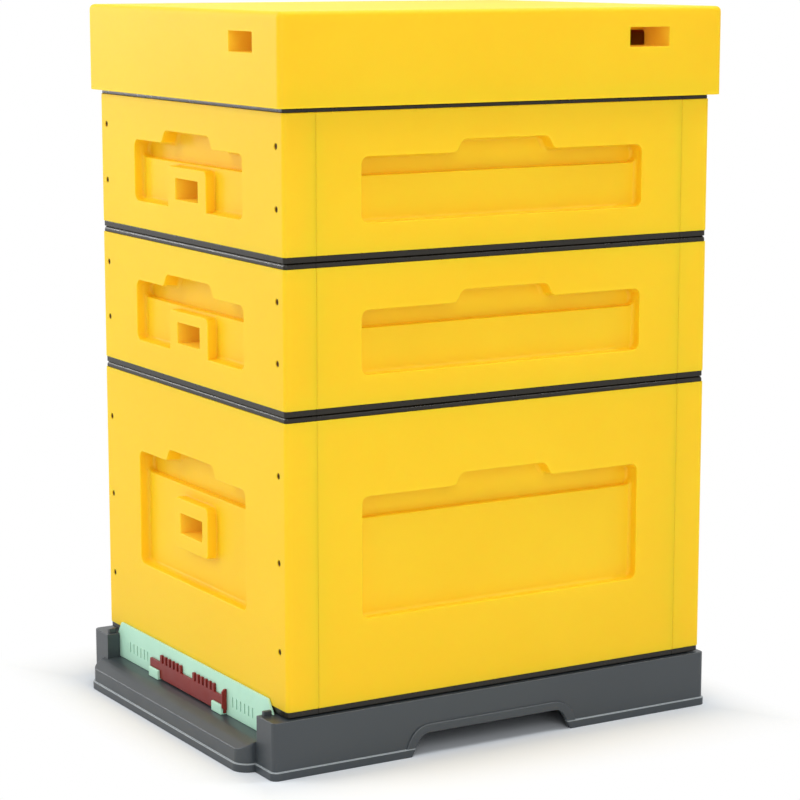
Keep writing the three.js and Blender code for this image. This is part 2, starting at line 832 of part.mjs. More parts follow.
// Entrance block: drawn on X and Z from the middle of its passage, with slits and two hooks
function entranceBlock() {
  const x = [entrance_offset - block_length / 2, entrance_offset + block_length / 2];
  const top = block_bottom + block_height;
  const plate_shape = outline([
    [x[0], block_bottom],
    [x[1], block_bottom],
    [x[1], top - block_chamfer_height],
    [x[1] - block_chamfer_width, top],
    [x[0] + block_chamfer_width, top],
    [x[0], top - block_chamfer_height],
  ]);
  const back = block_front + block_thickness;
  const plate = prism(plate_shape, axis_x, axis_z, -back, -block_front);
  const cut_y = [block_front - cut_overrun, back + cut_overrun];
  const passage_z = [block_bottom - cut_overrun, block_bottom + passage_height];
  const cuts = [block(span(passage_length / 2), cut_y, passage_z)];
  const slit_z = [block_bottom + slit_rise, block_bottom + slit_rise + slit_height];
  for (const side of [-1, 1]) {
    for (let i = 0; i < slit_count; i += 1) {
      const middle = side * slit_group_offset + (i - (slit_count - 1) / 2) * slit_pitch;
      cuts.push(block([middle - slit_width / 2, middle + slit_width / 2], cut_y, slit_z));
    }
  }
  return joinAll([cutAll(plate, cuts), ...hooks()]);
}

// Each hook is a foot under the strip and a lip in front of it
function hooks() {
  const lip_back = strip_front - sliding_gap;
  const foot_top = strip_bottom - sliding_gap;
  return [-1, 1].flatMap((side) => {
    const x = ordered(side * body_length / 2, side * (body_length / 2 + hook_length));
    return [
      block(x, [lip_back - hook_thickness, block_front + block_thickness / 2], [block_bottom, foot_top]),
      block(x, [lip_back - hook_thickness, lip_back], [block_bottom, block_bottom + hook_height]),
    ];
  });
}

// Entrance slider: strip, two groups of teeth and the handle at its end
function entranceSlider() {
  const y = [strip_front, strip_front + strip_thickness];
  const right = body_length / 2 + hook_length + sliding_gap;
  const left = -body_length / 2 - hook_length - tail_reach_length;
  const parts = [block([left, right + handle_thickness], y, [strip_bottom, strip_top])];
  for (const side of [-1, 1]) {
    for (let i = 0; i < tooth_count; i += 1) {
      const outer = body_length / 2 - i * (tooth_width + tooth_gap);
      const x = ordered(side * (outer - tooth_width), side * outer);
      parts.push(block(x, y, [strip_bottom, strip_top + tooth_height]));
    }
  }
  const handle_y = [y[1] - handle_reach, y[1]];
  const handle_z = [strip_bottom + handle_rise_height, strip_bottom + handle_rise_height + handle_height];
  parts.push(block([right, right + handle_thickness], handle_y, handle_z));
  return joinAll(parts);
}

// The whole hive, built upwards from the ground
const hive = new THREE.Group();
hive.position.set(0, stack_y, 0);
hive.add(piece('bottom_board', bottomBoard(), basePlastic()));
hive.add(piece('ventilation_mesh', ventilationMesh(), meshSteel()));
hive.add(piece('inspection_tray', inspectionTray(), trayPlastic()));

const entrance = new THREE.Group();
entrance.position.set(-entrance_offset, 0, 0);
entrance.add(piece('entrance_block', entranceBlock(), mintPlastic()));
entrance.add(piece('entrance_slider', entranceSlider(), redPlastic()));
hive.add(entrance);

const brood_level = levels(brood_kind, seat_top);
const lower_level = levels(super_kind, brood_level.top);
const upper_level = levels(super_kind, lower_level.top);
hive.add(makeBox('brood', brood_kind, brood_level));
hive.add(makeBox('lower_super', super_kind, lower_level));
hive.add(makeBox('upper_super', super_kind, upper_level));
hive.add(piece('inner_cover', innerCover(upper_level.top), coverPlastic()));
hive.add(piece('roof', roofShell(upper_level.top), painted()));

const group = new THREE.Group();
group.add(hive);

export default group;
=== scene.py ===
# A ten-frame beehive of polystyrene boxes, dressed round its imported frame. The entrance is
# towards -Y and the ground is at zero. Shapes are made in millimetres, counted in X and Y from
# the middle of the stack of boxes, and turned to metres when a piece is put in its place.
import math
from collections import namedtuple

import bmesh
import bpy
from mathutils import Matrix, Vector


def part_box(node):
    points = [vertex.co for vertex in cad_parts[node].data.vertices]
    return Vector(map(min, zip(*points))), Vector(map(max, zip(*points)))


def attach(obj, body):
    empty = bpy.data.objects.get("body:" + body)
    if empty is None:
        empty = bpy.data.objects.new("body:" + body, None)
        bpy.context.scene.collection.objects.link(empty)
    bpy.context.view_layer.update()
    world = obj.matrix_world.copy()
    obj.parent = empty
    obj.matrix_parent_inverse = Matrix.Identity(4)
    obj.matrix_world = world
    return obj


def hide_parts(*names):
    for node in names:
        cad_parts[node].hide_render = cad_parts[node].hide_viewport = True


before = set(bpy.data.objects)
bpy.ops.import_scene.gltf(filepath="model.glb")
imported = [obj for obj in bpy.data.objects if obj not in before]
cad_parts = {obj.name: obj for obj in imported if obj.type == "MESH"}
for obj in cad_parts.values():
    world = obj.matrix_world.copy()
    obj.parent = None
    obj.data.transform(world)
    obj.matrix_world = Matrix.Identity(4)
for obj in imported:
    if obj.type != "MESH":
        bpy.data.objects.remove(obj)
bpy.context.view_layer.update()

# Units and the middle of the stack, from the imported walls
mm_per_metre = 1000
stack_y = (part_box("brood_front_wall")[0].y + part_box("brood_back_wall")[1].y) / 2


def corners(node):
    """The lowest and highest corner of a CAD node, in millimetres from the middle of the stack"""
    low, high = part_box(node)
    middle = Vector((0, stack_y, 0))
    return (low - middle) * mm_per_metre, (high - middle) * mm_per_metre


# Boxes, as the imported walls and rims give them
side_low, side_high = corners("brood_right_wall")
front_low, front_high = corners("brood_front_wall")
box_half_width = side_high.x
inner_half_width = side_low.x
seam_half_length = side_high.y
box_half_length = -front_low.y
inner_half_length = -front_high.y
rim_half_width = corners("brood_top_rim")[1].x
rim_half_length = corners("brood_top_rim")[1].y
box_names = ("brood", "lower_super", "upper_super")

# Rounding of the foamed walls
cut_overrun = 3
draft_share = 0.03
wall_edge = 0.65
lip_radius = 0.9
floor_radius = 4.6
boss_floor_radius = 1.4
slot_lip_radius = 0.7
wall_corner_radius = 5
seam_corner_radius = 0.7

# Handholds, with the deeper finger groove along the top and the bump over it
recess_margin = 92
recess_depth = 11.5
groove_depth = 20
recess_corner_radius = 8
bump_width = 124
bump_height = 14
bump_slant_width = 8
bump_corner_radius = 5
bump_foot_radius = 3
groove_foot_radius = 8

# Slots through the front walls, and the counterbores of the screws
slot_width = 55
slot_height = 23.5
boss_corner_radius = 6
slot_narrowing = 0.4
screw_inset = 16.5
screw_hole_radius = 3.5
screw_hole_depth = 5
screw_lip_radius = 0.5
screw_head_radius = 3.3
screw_head_height = 4.3
cross_reach = 1.7
cross_half_width = 0.4

# Rims, and the rebates that the frames' ears hang in
rim_corner_radius = 4
rim_edge = 0.8
top_rim_edge = 3.9
rim_split_width = 0.45
rim_split_depth = 1.2
ear_height = 10
ear_clearance = 2.5

# Frames
frame_count = 10
frame_pitch = 37
frame_body_half = 217.5
frame_bar_width = 25
bottom_bar_width = 20
shoulder_width = 36.4
top_bar_height = 20
bottom_bar_height = 10
shoulder_drop = 80
side_bar_thickness = 8
foundation_thickness = 1.6

# Tolerances for joining flat faces
doubled_share = 1.0001
doubled_area = 0.01
same_direction = 0.9999
same_plane = 0.05

Kind = namedtuple(
    "Kind",
    "recess_drop recess_height groove_height boss_width boss_height "
    "slot_rise boss_stands_clear screw_rises",
)
brood_kind = Kind(86.4, 132.5, 26, 82, 57.5, 66.5, True, (63, 159, 252))
super_kind = Kind(47.4, 69, 21, 94, 45, 20.7, False, (48.5, 113))
kinds = {"brood": brood_kind, "lower_super": super_kind, "upper_super": super_kind}

Face = namedtuple("Face", "across out reach half_width")
faces = {
    "front": Face(Vector((1, 0, 0)), Vector((0, -1, 0)), box_half_length, box_half_width),
    "back": Face(Vector((-1, 0, 0)), Vector((0, 1, 0)), box_half_length, box_half_width),
    "right": Face(Vector((0, 1, 0)), Vector((1, 0, 0)), box_half_width, box_half_length),
    "left": Face(Vector((0, -1, 0)), Vector((-1, 0, 0)), box_half_width, box_half_length),
}


# Outlines and solids
def outline(points, steps=6):
    """A closed outline through points (x, y, reach); a point with a reach is rounded by an arc"""
    rounded = []
    for i, (x, y, reach) in enumerate(points):
        here = Vector((x, y))
        if reach == 0:
            rounded.append(here)
            continue
        before = (Vector(points[i - 1][:2]) - here).normalized()
        after = (Vector(points[(i + 1) % len(points)][:2]) - here).normalized()
        half_corner = before.angle(after) / 2
        centre = here + (before + after).normalized() * reach / math.cos(half_corner)
        first = here + before * reach - centre
        last = here + after * reach - centre
        swing = first.angle(last)
        for step in range(steps + 1):
            near, far = (1 - step / steps) * swing, step / steps * swing
            rounded.append(centre + (first * math.sin(near) + last * math.sin(far)) / math.sin(swing))
    return rounded


def rectangle(x, y, reach=0, steps=6):
    spots = [(x[0], y[0]), (x[1], y[0]), (x[1], y[1]), (x[0], y[1])]
    return outline([(*spot, reach) for spot in spots], steps)


def circle(radius, steps, x=0, y=0):
    turns = [2 * math.pi * i / steps for i in range(steps)]
    return [Vector((x + radius * math.cos(turn), y + radius * math.sin(turn))) for turn in turns]


def grown(points, amount):
    """The outline, drawn anticlockwise, moved outwards by an amount"""
    moved = []
    for i, here in enumerate(points):
        before = (here - points[i - 1]).normalized()
        after = (points[(i + 1) % len(points)] - here).normalized()
        normal = Vector((before.y + after.y, -before.x - after.x))
        moved.append(here + normal * amount / (1 + before.dot(after)))
    return moved


def lofted(rings, around=False):
    """A closed mesh through rings of points; around joins the last ring to the first"""
    body = bmesh.new()
    rows = [[body.verts.new(point) for point in ring] for ring in rings]
    pairs = list(zip(rows, rows[1:]))
    if around:
        pairs.append((rows[-1], rows[0]))
    for low, high in pairs:
        for i in range(len(low)):
            body.faces.new((low[i - 1], low[i], high[i], high[i - 1]))
    if not around:
        body.faces.new(rows[0])
        body.faces.new(rows[-1])
    bmesh.ops.recalc_face_normals(body, faces=body.faces)
    return finished(body)


def finished(body):
    mesh = bpy.data.meshes.new("shape")
    body.to_mesh(mesh)
    body.free()
    return mesh


def through(points, profile, place):
    """A solid through copies of an outline; profile lists (distance, growth) and place sets a point"""
    rings = [[place(point, distance) for point in grown(points, growth)] for distance, growth in profile]
    return lofted(rings)


def upward(point, distance):
    return Vector((point.x, point.y, distance))


def sideways(point, distance):
    return Vector((distance, point.x, point.y))


def backward(point, distance):
    return Vector((point.x, distance, point.y))


def into(face):
    """Places points drawn on a face at a depth behind it"""
    def place(point, depth):
        return face.across * point.x + face.out * (face.reach - depth) + Vector((0, 0, point.y))
    return place


def quarter(steps=4):
    """Sine and cosine along a quarter circle"""
    turns = [math.pi / 2 * i / steps for i in range(steps + 1)]
    return [(math.sin(turn), math.cos(turn)) for turn in turns]


def plain_ends(start, end):
    return [(start, 0), (end, 0)]


def rounded_ends(start, end, radius, end_radius=None):
    """A profile whose two ends are rounded"""
    last = radius if end_radius is None else end_radius
    near = [(start + radius * (1 - cosine), radius * (sine - 1)) for sine, cosine in quarter()]
    far = [(end - last * (1 - cosine), last * (sine - 1)) for sine, cosine in reversed(quarter())]
    return near + far


def drafted(profile):
    """The profile, narrower with its depth, as a mould leaves it"""
    return [(depth, growth - draft_share * depth) for depth, growth in profile]


def lipped(lip, steps=4):
    """The end of a cut's profile: a rounded lip at the surface"""
    return [(lip * (1 - sine), lip * (1 - cosine)) for sine, cosine in quarter(steps)]


def sunk(depth, floor, lip):
    """A profile for a cut: from a filleted floor up drafted walls to a rounded lip at the surface"""
    rise = [(depth - floor * (1 - cosine), floor * (sine - 1)) for sine, cosine in quarter()]
    return drafted(rise + lipped(lip)) + [(-cut_overrun, lip)]


def block(x, y, z):
    return through(rectangle(x, y), plain_ends(*z), upward)


def span(half):
    return (-half, half)


def ordered(a, b):
    return (min(a, b), max(a, b))


# Joining, cutting and finishing
def bake(holder):
    """The evaluated mesh of an object, which is then removed"""
    bpy.context.view_layer.update()
    evaluated = holder.evaluated_get(bpy.context.evaluated_depsgraph_get())
    mesh = bpy.data.meshes.new_from_object(evaluated)
    bpy.data.objects.remove(holder)
    return mesh


def held(mesh):
    holder = bpy.data.objects.new("work", mesh)
    bpy.context.scene.collection.objects.link(holder)
    return holder


def combined(base, tools, operation):
    holder = held(base)
    helpers = [held(tool) for tool in tools]
    for helper in helpers:
        step = holder.modifiers.new("step", "BOOLEAN")
        step.operation = operation
        step.solver = "MANIFOLD"
        step.object = helper
    mesh = bake(holder)
    for helper in helpers:
        bpy.data.objects.remove(helper)
    return tidied(mesh)


def cut(base, *tools):
    return combined(base, tools, "DIFFERENCE")


def joined(base, *tools):
    return combined(base, tools, "UNION")


def common(base, *tools):
    return combined(base, tools, "INTERSECT")


def folded_faces(body):
    """Faces whose triangles cover more than the face, as when one face is wrapped round an opening"""
    body.normal_update()
    body.faces.index_update()
    covered = [0] * len(body.faces)
    for corner in body.calc_loop_triangles():
        a, b, c = (loop.vert.co for loop in corner)
        covered[corner[0].face.index] += (b - a).cross(c - a).length / 2
    return [
        side for side in body.faces
        if covered[side.index] > side.calc_area() * doubled_share + doubled_area
    ]


def in_plane(edge, normal, middle):
    return (
        all(abs(side.normal.dot(normal)) > same_direction for side in edge.link_faces)
        and all(abs((point.co - middle).dot(normal)) < same_plane for point in edge.verts)
    )


def simplified(mesh, planes, weld=0.002, flat_angle=0.3):
    """The mesh with its doubled points merged and flat faces joined, but for edges in the given planes"""
    body = bmesh.new()
    body.from_mesh(mesh)
    bmesh.ops.remove_doubles(body, verts=body.verts, dist=weld)
    body.normal_update()
    edges = [edge for edge in body.edges if not any(in_plane(edge, *plane) for plane in planes)]
    bmesh.ops.dissolve_limit(body, angle_limit=math.radians(flat_angle), verts=body.verts, edges=edges)
    bmesh.ops.dissolve_degenerate(body, edges=body.edges, dist=weld)
    return body


def tidied(mesh, more_tries=2):
    """Simplifies the mesh; where that folds faces over, their planes keep their edges in another try"""
    planes = []
    body = simplified(mesh, planes)
    for _ in range(more_tries):
        folded = folded_faces(body)
        if not folded:
            break
        planes += [(side.normal.copy(), side.verts[0].co.copy()) for side in folded]
        body.free()
        body = simplified(mesh, planes)
    body.to_mesh(mesh)
    body.free()
    return mesh


def softened(mesh, radius, chosen, segments=3, least_angle=35):
    """Rounds the outward edges for which chosen(middle, direction, normals) holds"""
    body = bmesh.new()
    body.from_mesh(mesh)
    weights = body.edges.layers.float.new("bevel_weight_edge")
    for edge in body.edges:
        if len(edge.link_faces) != 2 or not edge.is_convex:
            continue
        if edge.calc_face_angle(0) < math.radians(least_angle):
            continue
        middle = (edge.verts[0].co + edge.verts[1].co) / 2
        direction = (edge.verts[1].co - edge.verts[0].co).normalized()
        if chosen(middle, direction, [side.normal for side in edge.link_faces]):
            edge[weights] = 1
    body.to_mesh(mesh)
    body.free()
    holder = held(mesh)
    step = holder.modifiers.new("round", "BEVEL")
    step.limit_method = "WEIGHT"
    step.width = radius
    step.segments = segments
    step.use_clamp_overlap = False
    return bake(holder)


def shaded(mesh, sharp_angle=38):
    """Smooth shading that keeps flat faces flat and edges over the given angle sharp"""
    mesh.polygons.foreach_set("use_smooth", [True] * len(mesh.polygons))
    mesh.set_sharp_from_angle(angle=math.radians(sharp_angle))
    holder = held(mesh)
    step = holder.modifiers.new("normals", "WEIGHTED_NORMAL")
    step.keep_sharp = True
    step.weight = 100
    return bake(holder)


def merged(meshes):
    """Several meshes as one, each with its own material kept"""
    body = bmesh.new()
    materials = []
    for mesh in meshes:
        first = len(body.faces)
        body.from_mesh(mesh)
        body.faces.ensure_lookup_table()
        shift = len(materials)
        for side in body.faces[first:]:
            side.material_index += shift
        materials.extend(mesh.materials)
    whole = finished(body)
    for material in materials:
        whole.materials.append(material)
    return whole


def settle(mesh, name, body, slot, nodes=(), material=None):
    """Puts a finished mesh in its place in metres, as a named piece that rides on a body"""
    place = Matrix.Translation((0, stack_y, 0)) @ Matrix.Scale(1 / mm_per_metre, 4)
    mesh.transform(place)
    mesh.name = name
    if material is not None:
        mesh.materials.clear()
        mesh.materials.append(material)
    piece = bpy.data.objects.new(name, mesh)
    bpy.context.scene.collection.objects.link(piece)
    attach(piece, body)
    if nodes:
        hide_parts(*nodes)
    return piece


# Geometry node trees for what repeats
def new_tree(name, inputs):
    """An empty tree that takes in geometry, the named inputs and a material"""
    tree = bpy.data.node_groups.new(name, "GeometryNodeTree")
    tree.interface.new_socket("Geometry", in_out="INPUT", socket_type="NodeSocketGeometry")
    for label, kind in inputs + [("Material", "NodeSocketMaterial")]:
        tree.interface.new_socket(label, in_out="INPUT", socket_type=kind)
    tree.interface.new_socket("Geometry", in_out="OUTPUT", socket_type="NodeSocketGeometry")
    return tree


def end_tree(tree, source, instances):
    """Realizes the instances and gives them the material that the tree takes in"""
    realize = tree.nodes.new("GeometryNodeRealizeInstances")
    paint = tree.nodes.new("GeometryNodeSetMaterial")
    output = tree.nodes.new("NodeGroupOutput")
    tree.links.new(instances, realize.inputs[0])
    tree.links.new(realize.outputs[0], paint.inputs["Geometry"])
    tree.links.new(source.outputs["Material"], paint.inputs["Material"])
    tree.links.new(paint.outputs[0], output.inputs[0])


def row_tree():
    """Copies of the piece that the modifier is on, in a row with a fixed step"""
    tree = new_tree("row_of_pieces", [("Count", "NodeSocketInt"), ("Step", "NodeSocketVector")])
    source = tree.nodes.new("NodeGroupInput")
    line = tree.nodes.new("GeometryNodeMeshLine")
    line.mode = "OFFSET"
    copies = tree.nodes.new("GeometryNodeInstanceOnPoints")
    tree.links.new(source.outputs["Count"], line.inputs["Count"])
    tree.links.new(source.outputs["Step"], line.inputs["Offset"])
    tree.links.new(line.outputs[0], copies.inputs["Points"])
    tree.links.new(source.outputs["Geometry"], copies.inputs["Instance"])
    end_tree(tree, source, copies.outputs[0])
    return tree


def places_tree():
    """Copies of a piece on the points that the modifier is on, all turned alike"""
    tree = new_tree("pieces_on_points", [("Piece", "NodeSocketObject"), ("Turn", "NodeSocketRotation")])
    source = tree.nodes.new("NodeGroupInput")
    piece = tree.nodes.new("GeometryNodeObjectInfo")
    copies = tree.nodes.new("GeometryNodeInstanceOnPoints")
    tree.links.new(source.outputs["Piece"], piece.inputs["Object"])
    tree.links.new(source.outputs["Geometry"], copies.inputs["Points"])
    tree.links.new(piece.outputs["Geometry"], copies.inputs["Instance"])
    tree.links.new(source.outputs["Turn"], copies.inputs["Rotation"])
    end_tree(tree, source, copies.outputs[0])
    return tree


def run_tree(mesh, tree, values):
    """The plain mesh that a tree makes from a mesh, with its named inputs set"""
    holder = held(mesh)
    step = holder.modifiers.new("tree", "NODES")
    step.node_group = tree
    for item in tree.interface.items_tree:
        if item.in_out == "INPUT" and item.name in values:
            step[item.identifier] = values[item.name]
    return bake(holder)


pieces_in_a_row = row_tree()
pieces_on_points = places_tree()


def repeated(mesh, count, step, material):
    return run_tree(mesh, pieces_in_a_row, {"Count": count, "Step": tuple(step), "Material": material})


def placed_on(points, piece_mesh, turn, material):
    cloud = bpy.data.meshes.new("places")
    cloud.from_pydata([tuple(point) for point in points], [], [])
    piece = held(piece_mesh)
    mesh = run_tree(cloud, pieces_on_points, {"Piece": piece, "Turn": turn, "Material": material})
    bpy.data.objects.remove(piece)
    return mesh


# Finishes
def tone(red, green, blue):
    """A colour as a screen shows it, from 0 to 255, turned to the values that a shader takes"""
    shares = [value / 255 for value in (red, green, blue)]
    return tuple(s / 12.92 if s <= 0.04045 else ((s + 0.055) / 1.055) ** 2.4 for s in shares) + (1,)


class Finish:
    """A material being built: its nodes, and short ways to add and join them"""

    def __init__(self, name):
        self.material = bpy.data.materials.new(name)
        self.material.use_nodes = True
        self.tree = self.material.node_tree
        self.shader = self.tree.nodes["Principled BSDF"]
        self.places = self.tree.nodes.new("ShaderNodeTexCoord").outputs["Object"]

    def node(self, kind, links=(), **values):
        made = self.tree.nodes.new(kind)
        for name, value in values.items():
            setattr(made, name, value)
        for socket, source in dict(links).items():
            if isinstance(source, bpy.types.NodeSocket):
                self.tree.links.new(source, made.inputs[socket])
            else:
                made.inputs[socket].default_value = source
        return made

    def scaled(self, scale):
        """Object places, stretched by a scale for each axis"""
        return self.node("ShaderNodeMapping", {"Vector": self.places, "Scale": scale}).outputs[0]

    def noise(self, scale, detail=3, vector=None, distortion=0):
        links = {"Vector": vector or self.places, "Scale": scale, "Detail": detail}
        return self.node("ShaderNodeTexNoise", {**links, "Distortion": distortion}).outputs["Fac"]

    def mapped(self, value, low, high, from_low=0.3, from_high=0.7):
        """A value turned from one range to another, and kept within it"""
        ends = {"From Min": from_low, "From Max": from_high, "To Min": low, "To Max": high}
        return self.node("ShaderNodeMapRange", {"Value": value, **ends}).outputs["Result"]

    def number(self, operation, *sources):
        return self.node("ShaderNodeMath", dict(enumerate(sources)), operation=operation).outputs[0]

    def vector(self, operation, *sources, output=0):
        made = self.node("ShaderNodeVectorMath", dict(enumerate(sources)), operation=operation)
        return made.outputs[output]

    def mixed(self, share, first, second):
        made = self.node("ShaderNodeMix", data_type="RGBA")
        self.tree.links.new(share, made.inputs["Factor"])
        for index, source in ((6, first), (7, second)):
            if isinstance(source, bpy.types.NodeSocket):
                self.tree.links.new(source, made.inputs[index])
            else:
                made.inputs[index].default_value = source
        return made.outputs[2]

    def bump(self, height, distance, strength=1, below=None):
        links = {"Height": height, "Distance": distance, "Strength": strength}
        if below is not None:
            links["Normal"] = below
        return self.node("ShaderNodeBump", links).outputs["Normal"]

    def join(self, socket, source):
        self.tree.links.new(source, self.shader.inputs[socket])

    def set(self, socket, value):
        self.shader.inputs[socket].default_value = value


def painted_foam(name, light, dark, glow):
    """Yellow polystyrene: fused beads that show faintly through a satin coat, light that seeps in, and a
    painted glow of the given strength
    """
    look = Finish(name)
    beads = look.node("ShaderNodeTexVoronoi", {"Vector": look.places, "Scale": 230.0})
    clouds = look.noise(5.0)
    grain = look.noise(900.0, 2)
    look.join("Base Color", look.mixed(look.mapped(clouds, 0, 1), tone(*light), tone(*dark)))
    look.join("Roughness", look.mapped(grain, 0.43, 0.54))
    dimples = look.bump(beads.outputs["Distance"], 0.0004, 0.1)
    look.join("Normal", look.bump(grain, 0.0001, 0.25, dimples))
    look.set("Specular IOR Level", 0.25)
    look.set("Subsurface Weight", 0.35)
    look.set("Subsurface Radius", (1, 0.45, 0.06))
    look.set("Subsurface Scale", 0.025)
    # Painted glow: an orange emission that stands in for the light inside slots and vents
    look.set("Emission Color", tone(240, 148, 45))
    look.set("Emission Strength", glow)
    return look.material


def rim_plastic():
    """Dark moulded rims with a semi gloss"""
    look = Finish("rim_plastic")
    look.join("Base Color", look.mixed(look.noise(40.0), tone(26, 22, 13), tone(32, 27, 17)))
    look.join("Roughness", look.mapped(look.noise(120.0), 0.26, 0.32))
    look.join("Normal", look.bump(look.noise(500.0), 0.0001, 0.03))
    look.set("Specular IOR Level", 0.35)
    return look.material


def base_plastic():
    """Slate grey plastic with soft highlights, and a pale line painted along the flange's upper edge as a
    highlight
    """
    look = Finish("base_plastic")
    edge_height = 0.0089
    edge_reach = 0.0006
    height = look.node("ShaderNodeSeparateXYZ", {0: look.places}).outputs["Z"]
    # Painted highlight: pale colour in a thin band at the height of the flange's rounded upper edge
    painted_highlight = look.number("COMPARE", height, edge_height, edge_reach)
    plain = look.mixed(look.mapped(look.noise(7.0), 0, 1), tone(51, 57, 62), tone(54, 60, 64))
    look.join("Base Color", look.mixed(painted_highlight, plain, tone(146, 153, 156)))
    look.join("Roughness", look.mapped(look.noise(60.0), 0.36, 0.4))
    look.join("Normal", look.bump(look.noise(700.0, 2), 0.0001, 0.12))
    look.set("Specular IOR Level", 0.6)
    return look.material


def plain_plastic(name, first, second, roughness, grain_scale=600.0, shine=0.5):
    """Moulded plastic of one colour that varies slightly, with a fine grain"""
    look = Finish(name)
    look.join("Base Color", look.mixed(look.mapped(look.noise(20.0), 0, 1), tone(*first), tone(*second)))
    look.join("Roughness", look.mapped(look.noise(90.0), roughness - 0.05, roughness + 0.06))
    look.join("Normal", look.bump(look.noise(grain_scale, 2), 0.0001, 0.2))
    look.set("Specular IOR Level", shine)
    return look.material


def planed_wood(name, scale):
    """Pale lime wood whose grain runs along the axis with the small scale"""
    look = Finish(name)
    along = look.scaled(scale)
    rings = look.noise(1.0, 4, along, 1.5)
    pores = look.noise(6.0, 2, along)
    body = look.mixed(look.mapped(rings, 0, 1), tone(226, 200, 160), tone(203, 170, 124))
    look.join("Base Color", look.mixed(look.mapped(pores, 0, 0.35, 0.5, 0.8), body, tone(176, 140, 96)))
    look.join("Roughness", look.mapped(pores, 0.55, 0.75))
    look.join("Normal", look.bump(rings, 0.0004, 0.3))
    return look.material


def comb_distance(look, shift, cell):
    """How far a point lies from the nearest cell middle of one of the two grids of a honeycomb"""
    row_step = math.sqrt(3)
    moved = look.vector("ADD", look.places, shift)
    shares = look.vector("DIVIDE", moved, (cell, cell, cell * row_step))
    inside = look.vector("FRACTION", shares)
    centred = look.vector("SUBTRACT", inside, (0.5, 0.5, 0.5))
    flat = look.vector("MULTIPLY", centred, (0, 1, row_step))
    return look.vector("LENGTH", flat, output="Value")


def pressed_wax():
    """Beeswax foundation, pressed with the pattern of comb cells"""
    look = Finish("beeswax")
    cell = 0.0054
    near = comb_distance(look, (0, 0, 0), cell)
    far = comb_distance(look, (0, cell / 2, cell * math.sqrt(3) / 2), cell)
    pits = look.number("MINIMUM", near, far)
    raised = look.mapped(pits, 0, 1, 0.2, 0.6)
    # The colour is darker towards the middle of each cell: painted shade in the pits
    look.join("Base Color", look.mixed(raised, tone(214, 158, 58), tone(238, 192, 92)))
    look.join("Normal", look.bump(pits, 0.0012, 0.8))
    look.set("Roughness", 0.42)
    look.set("Subsurface Weight", 0.15)
    look.set("Subsurface Radius", (0.004, 0.002, 0.0008))
    return look.material


def galvanised_steel():
    """Zinc with its pale spangle"""
    look = Finish("galvanised_steel")
    spangle = look.node("ShaderNodeTexVoronoi", {"Vector": look.places, "Scale": 90.0}).outputs["Distance"]
    look.join("Base Color", look.mixed(spangle, tone(176, 181, 185), tone(208, 212, 214)))
    look.join("Roughness", look.mapped(look.noise(200.0), 0.32, 0.46))
    look.set("Metallic", 0.95)
    return look.material


def screw_steel():
    """Browned screws that shine little"""
    look = Finish("screw_steel")
    look.join("Base Color", look.mixed(look.noise(400.0), tone(84, 48, 8), tone(100, 60, 14)))
    look.join("Roughness", look.mapped(look.noise(600.0), 0.5, 0.65))
    look.set("Metallic", 0.4)
    look.set("Specular IOR Level", 0.1)
    return look.material


foam = painted_foam("yellow_polystyrene", (252, 205, 30), (251, 200, 24), 0)
# Inside slots and vents: a paler copy of the foam with a painted glow, standing in for the light in the
# holes
painted_glow_foam = painted_foam("yellow_polystyrene_painted_glow", (233, 203, 50), (231, 199, 44), 0.2)
rim_look = rim_plastic()
base_look = base_plastic()
mint_look = plain_plastic("mint_plastic", (190, 236, 211), (184, 231, 205), 0.5)
red_look = plain_plastic("red_plastic", (134, 32, 26), (126, 28, 22), 0.36, shine=0.3)
cover_look = plain_plastic("cover_plastic", (226, 229, 226), (216, 220, 218), 0.55, 250.0)
tray_look = plain_plastic("tray_plastic", (47, 50, 53), (41, 44, 47), 0.5)
wood_along_y = planed_wood("lime_wood_along_y", (90, 4, 90))
wood_along_z = planed_wood("lime_wood_along_z", (90, 90, 4))
wax = pressed_wax()
steel = galvanised_steel()
screw_look = screw_steel()


# Walls of a box
def field_outline(kind, face, wall_top, bottom, foot_reach):
    """The handhold's outline down to a given lower edge"""
    half = face.half_width - recess_margin
    top = wall_top - kind.recess_drop
    bump = bump_width / 2
    return outline([
        (-half, bottom, foot_reach),
        (half, bottom, foot_reach),
        (half, top, recess_corner_radius),
        (bump, top, bump_foot_radius),
        (bump - bump_slant_width, top + bump_height, bump_corner_radius),
        (bump_slant_width - bump, top + bump_height, bump_corner_radius),
        (-bump, top, bump_foot_radius),
        (-half, top, recess_corner_radius),
    ])


def groove_cut(kind, face, wall_top):
    """The finger groove: filleted floor, drafted walls, and a rounded lower lip at the field's floor"""
    top = wall_top - kind.recess_drop
    place = into(face)
    inset = 0.03
    floor = floor_radius
    lip = lip_radius
    profile = [(groove_depth - floor * (1 - c), floor * (s - 1), floor * (1 - s)) for s, c in quarter()]
    profile += [(recess_depth + lip * (1 - s), 0, lip * (1 - c)) for s, c in quarter()]
    profile.append((recess_depth / 2, 0, lip))
    rings = []
    for depth, growth, edge_drop in profile:
        bottom = top - kind.groove_height - edge_drop
        points = grown(
            field_outline(kind, face, wall_top, bottom, groove_foot_radius),
            growth - draft_share * depth - inset,
        )
        rings.append([place(point, depth) for point in points])
    return lofted(rings)


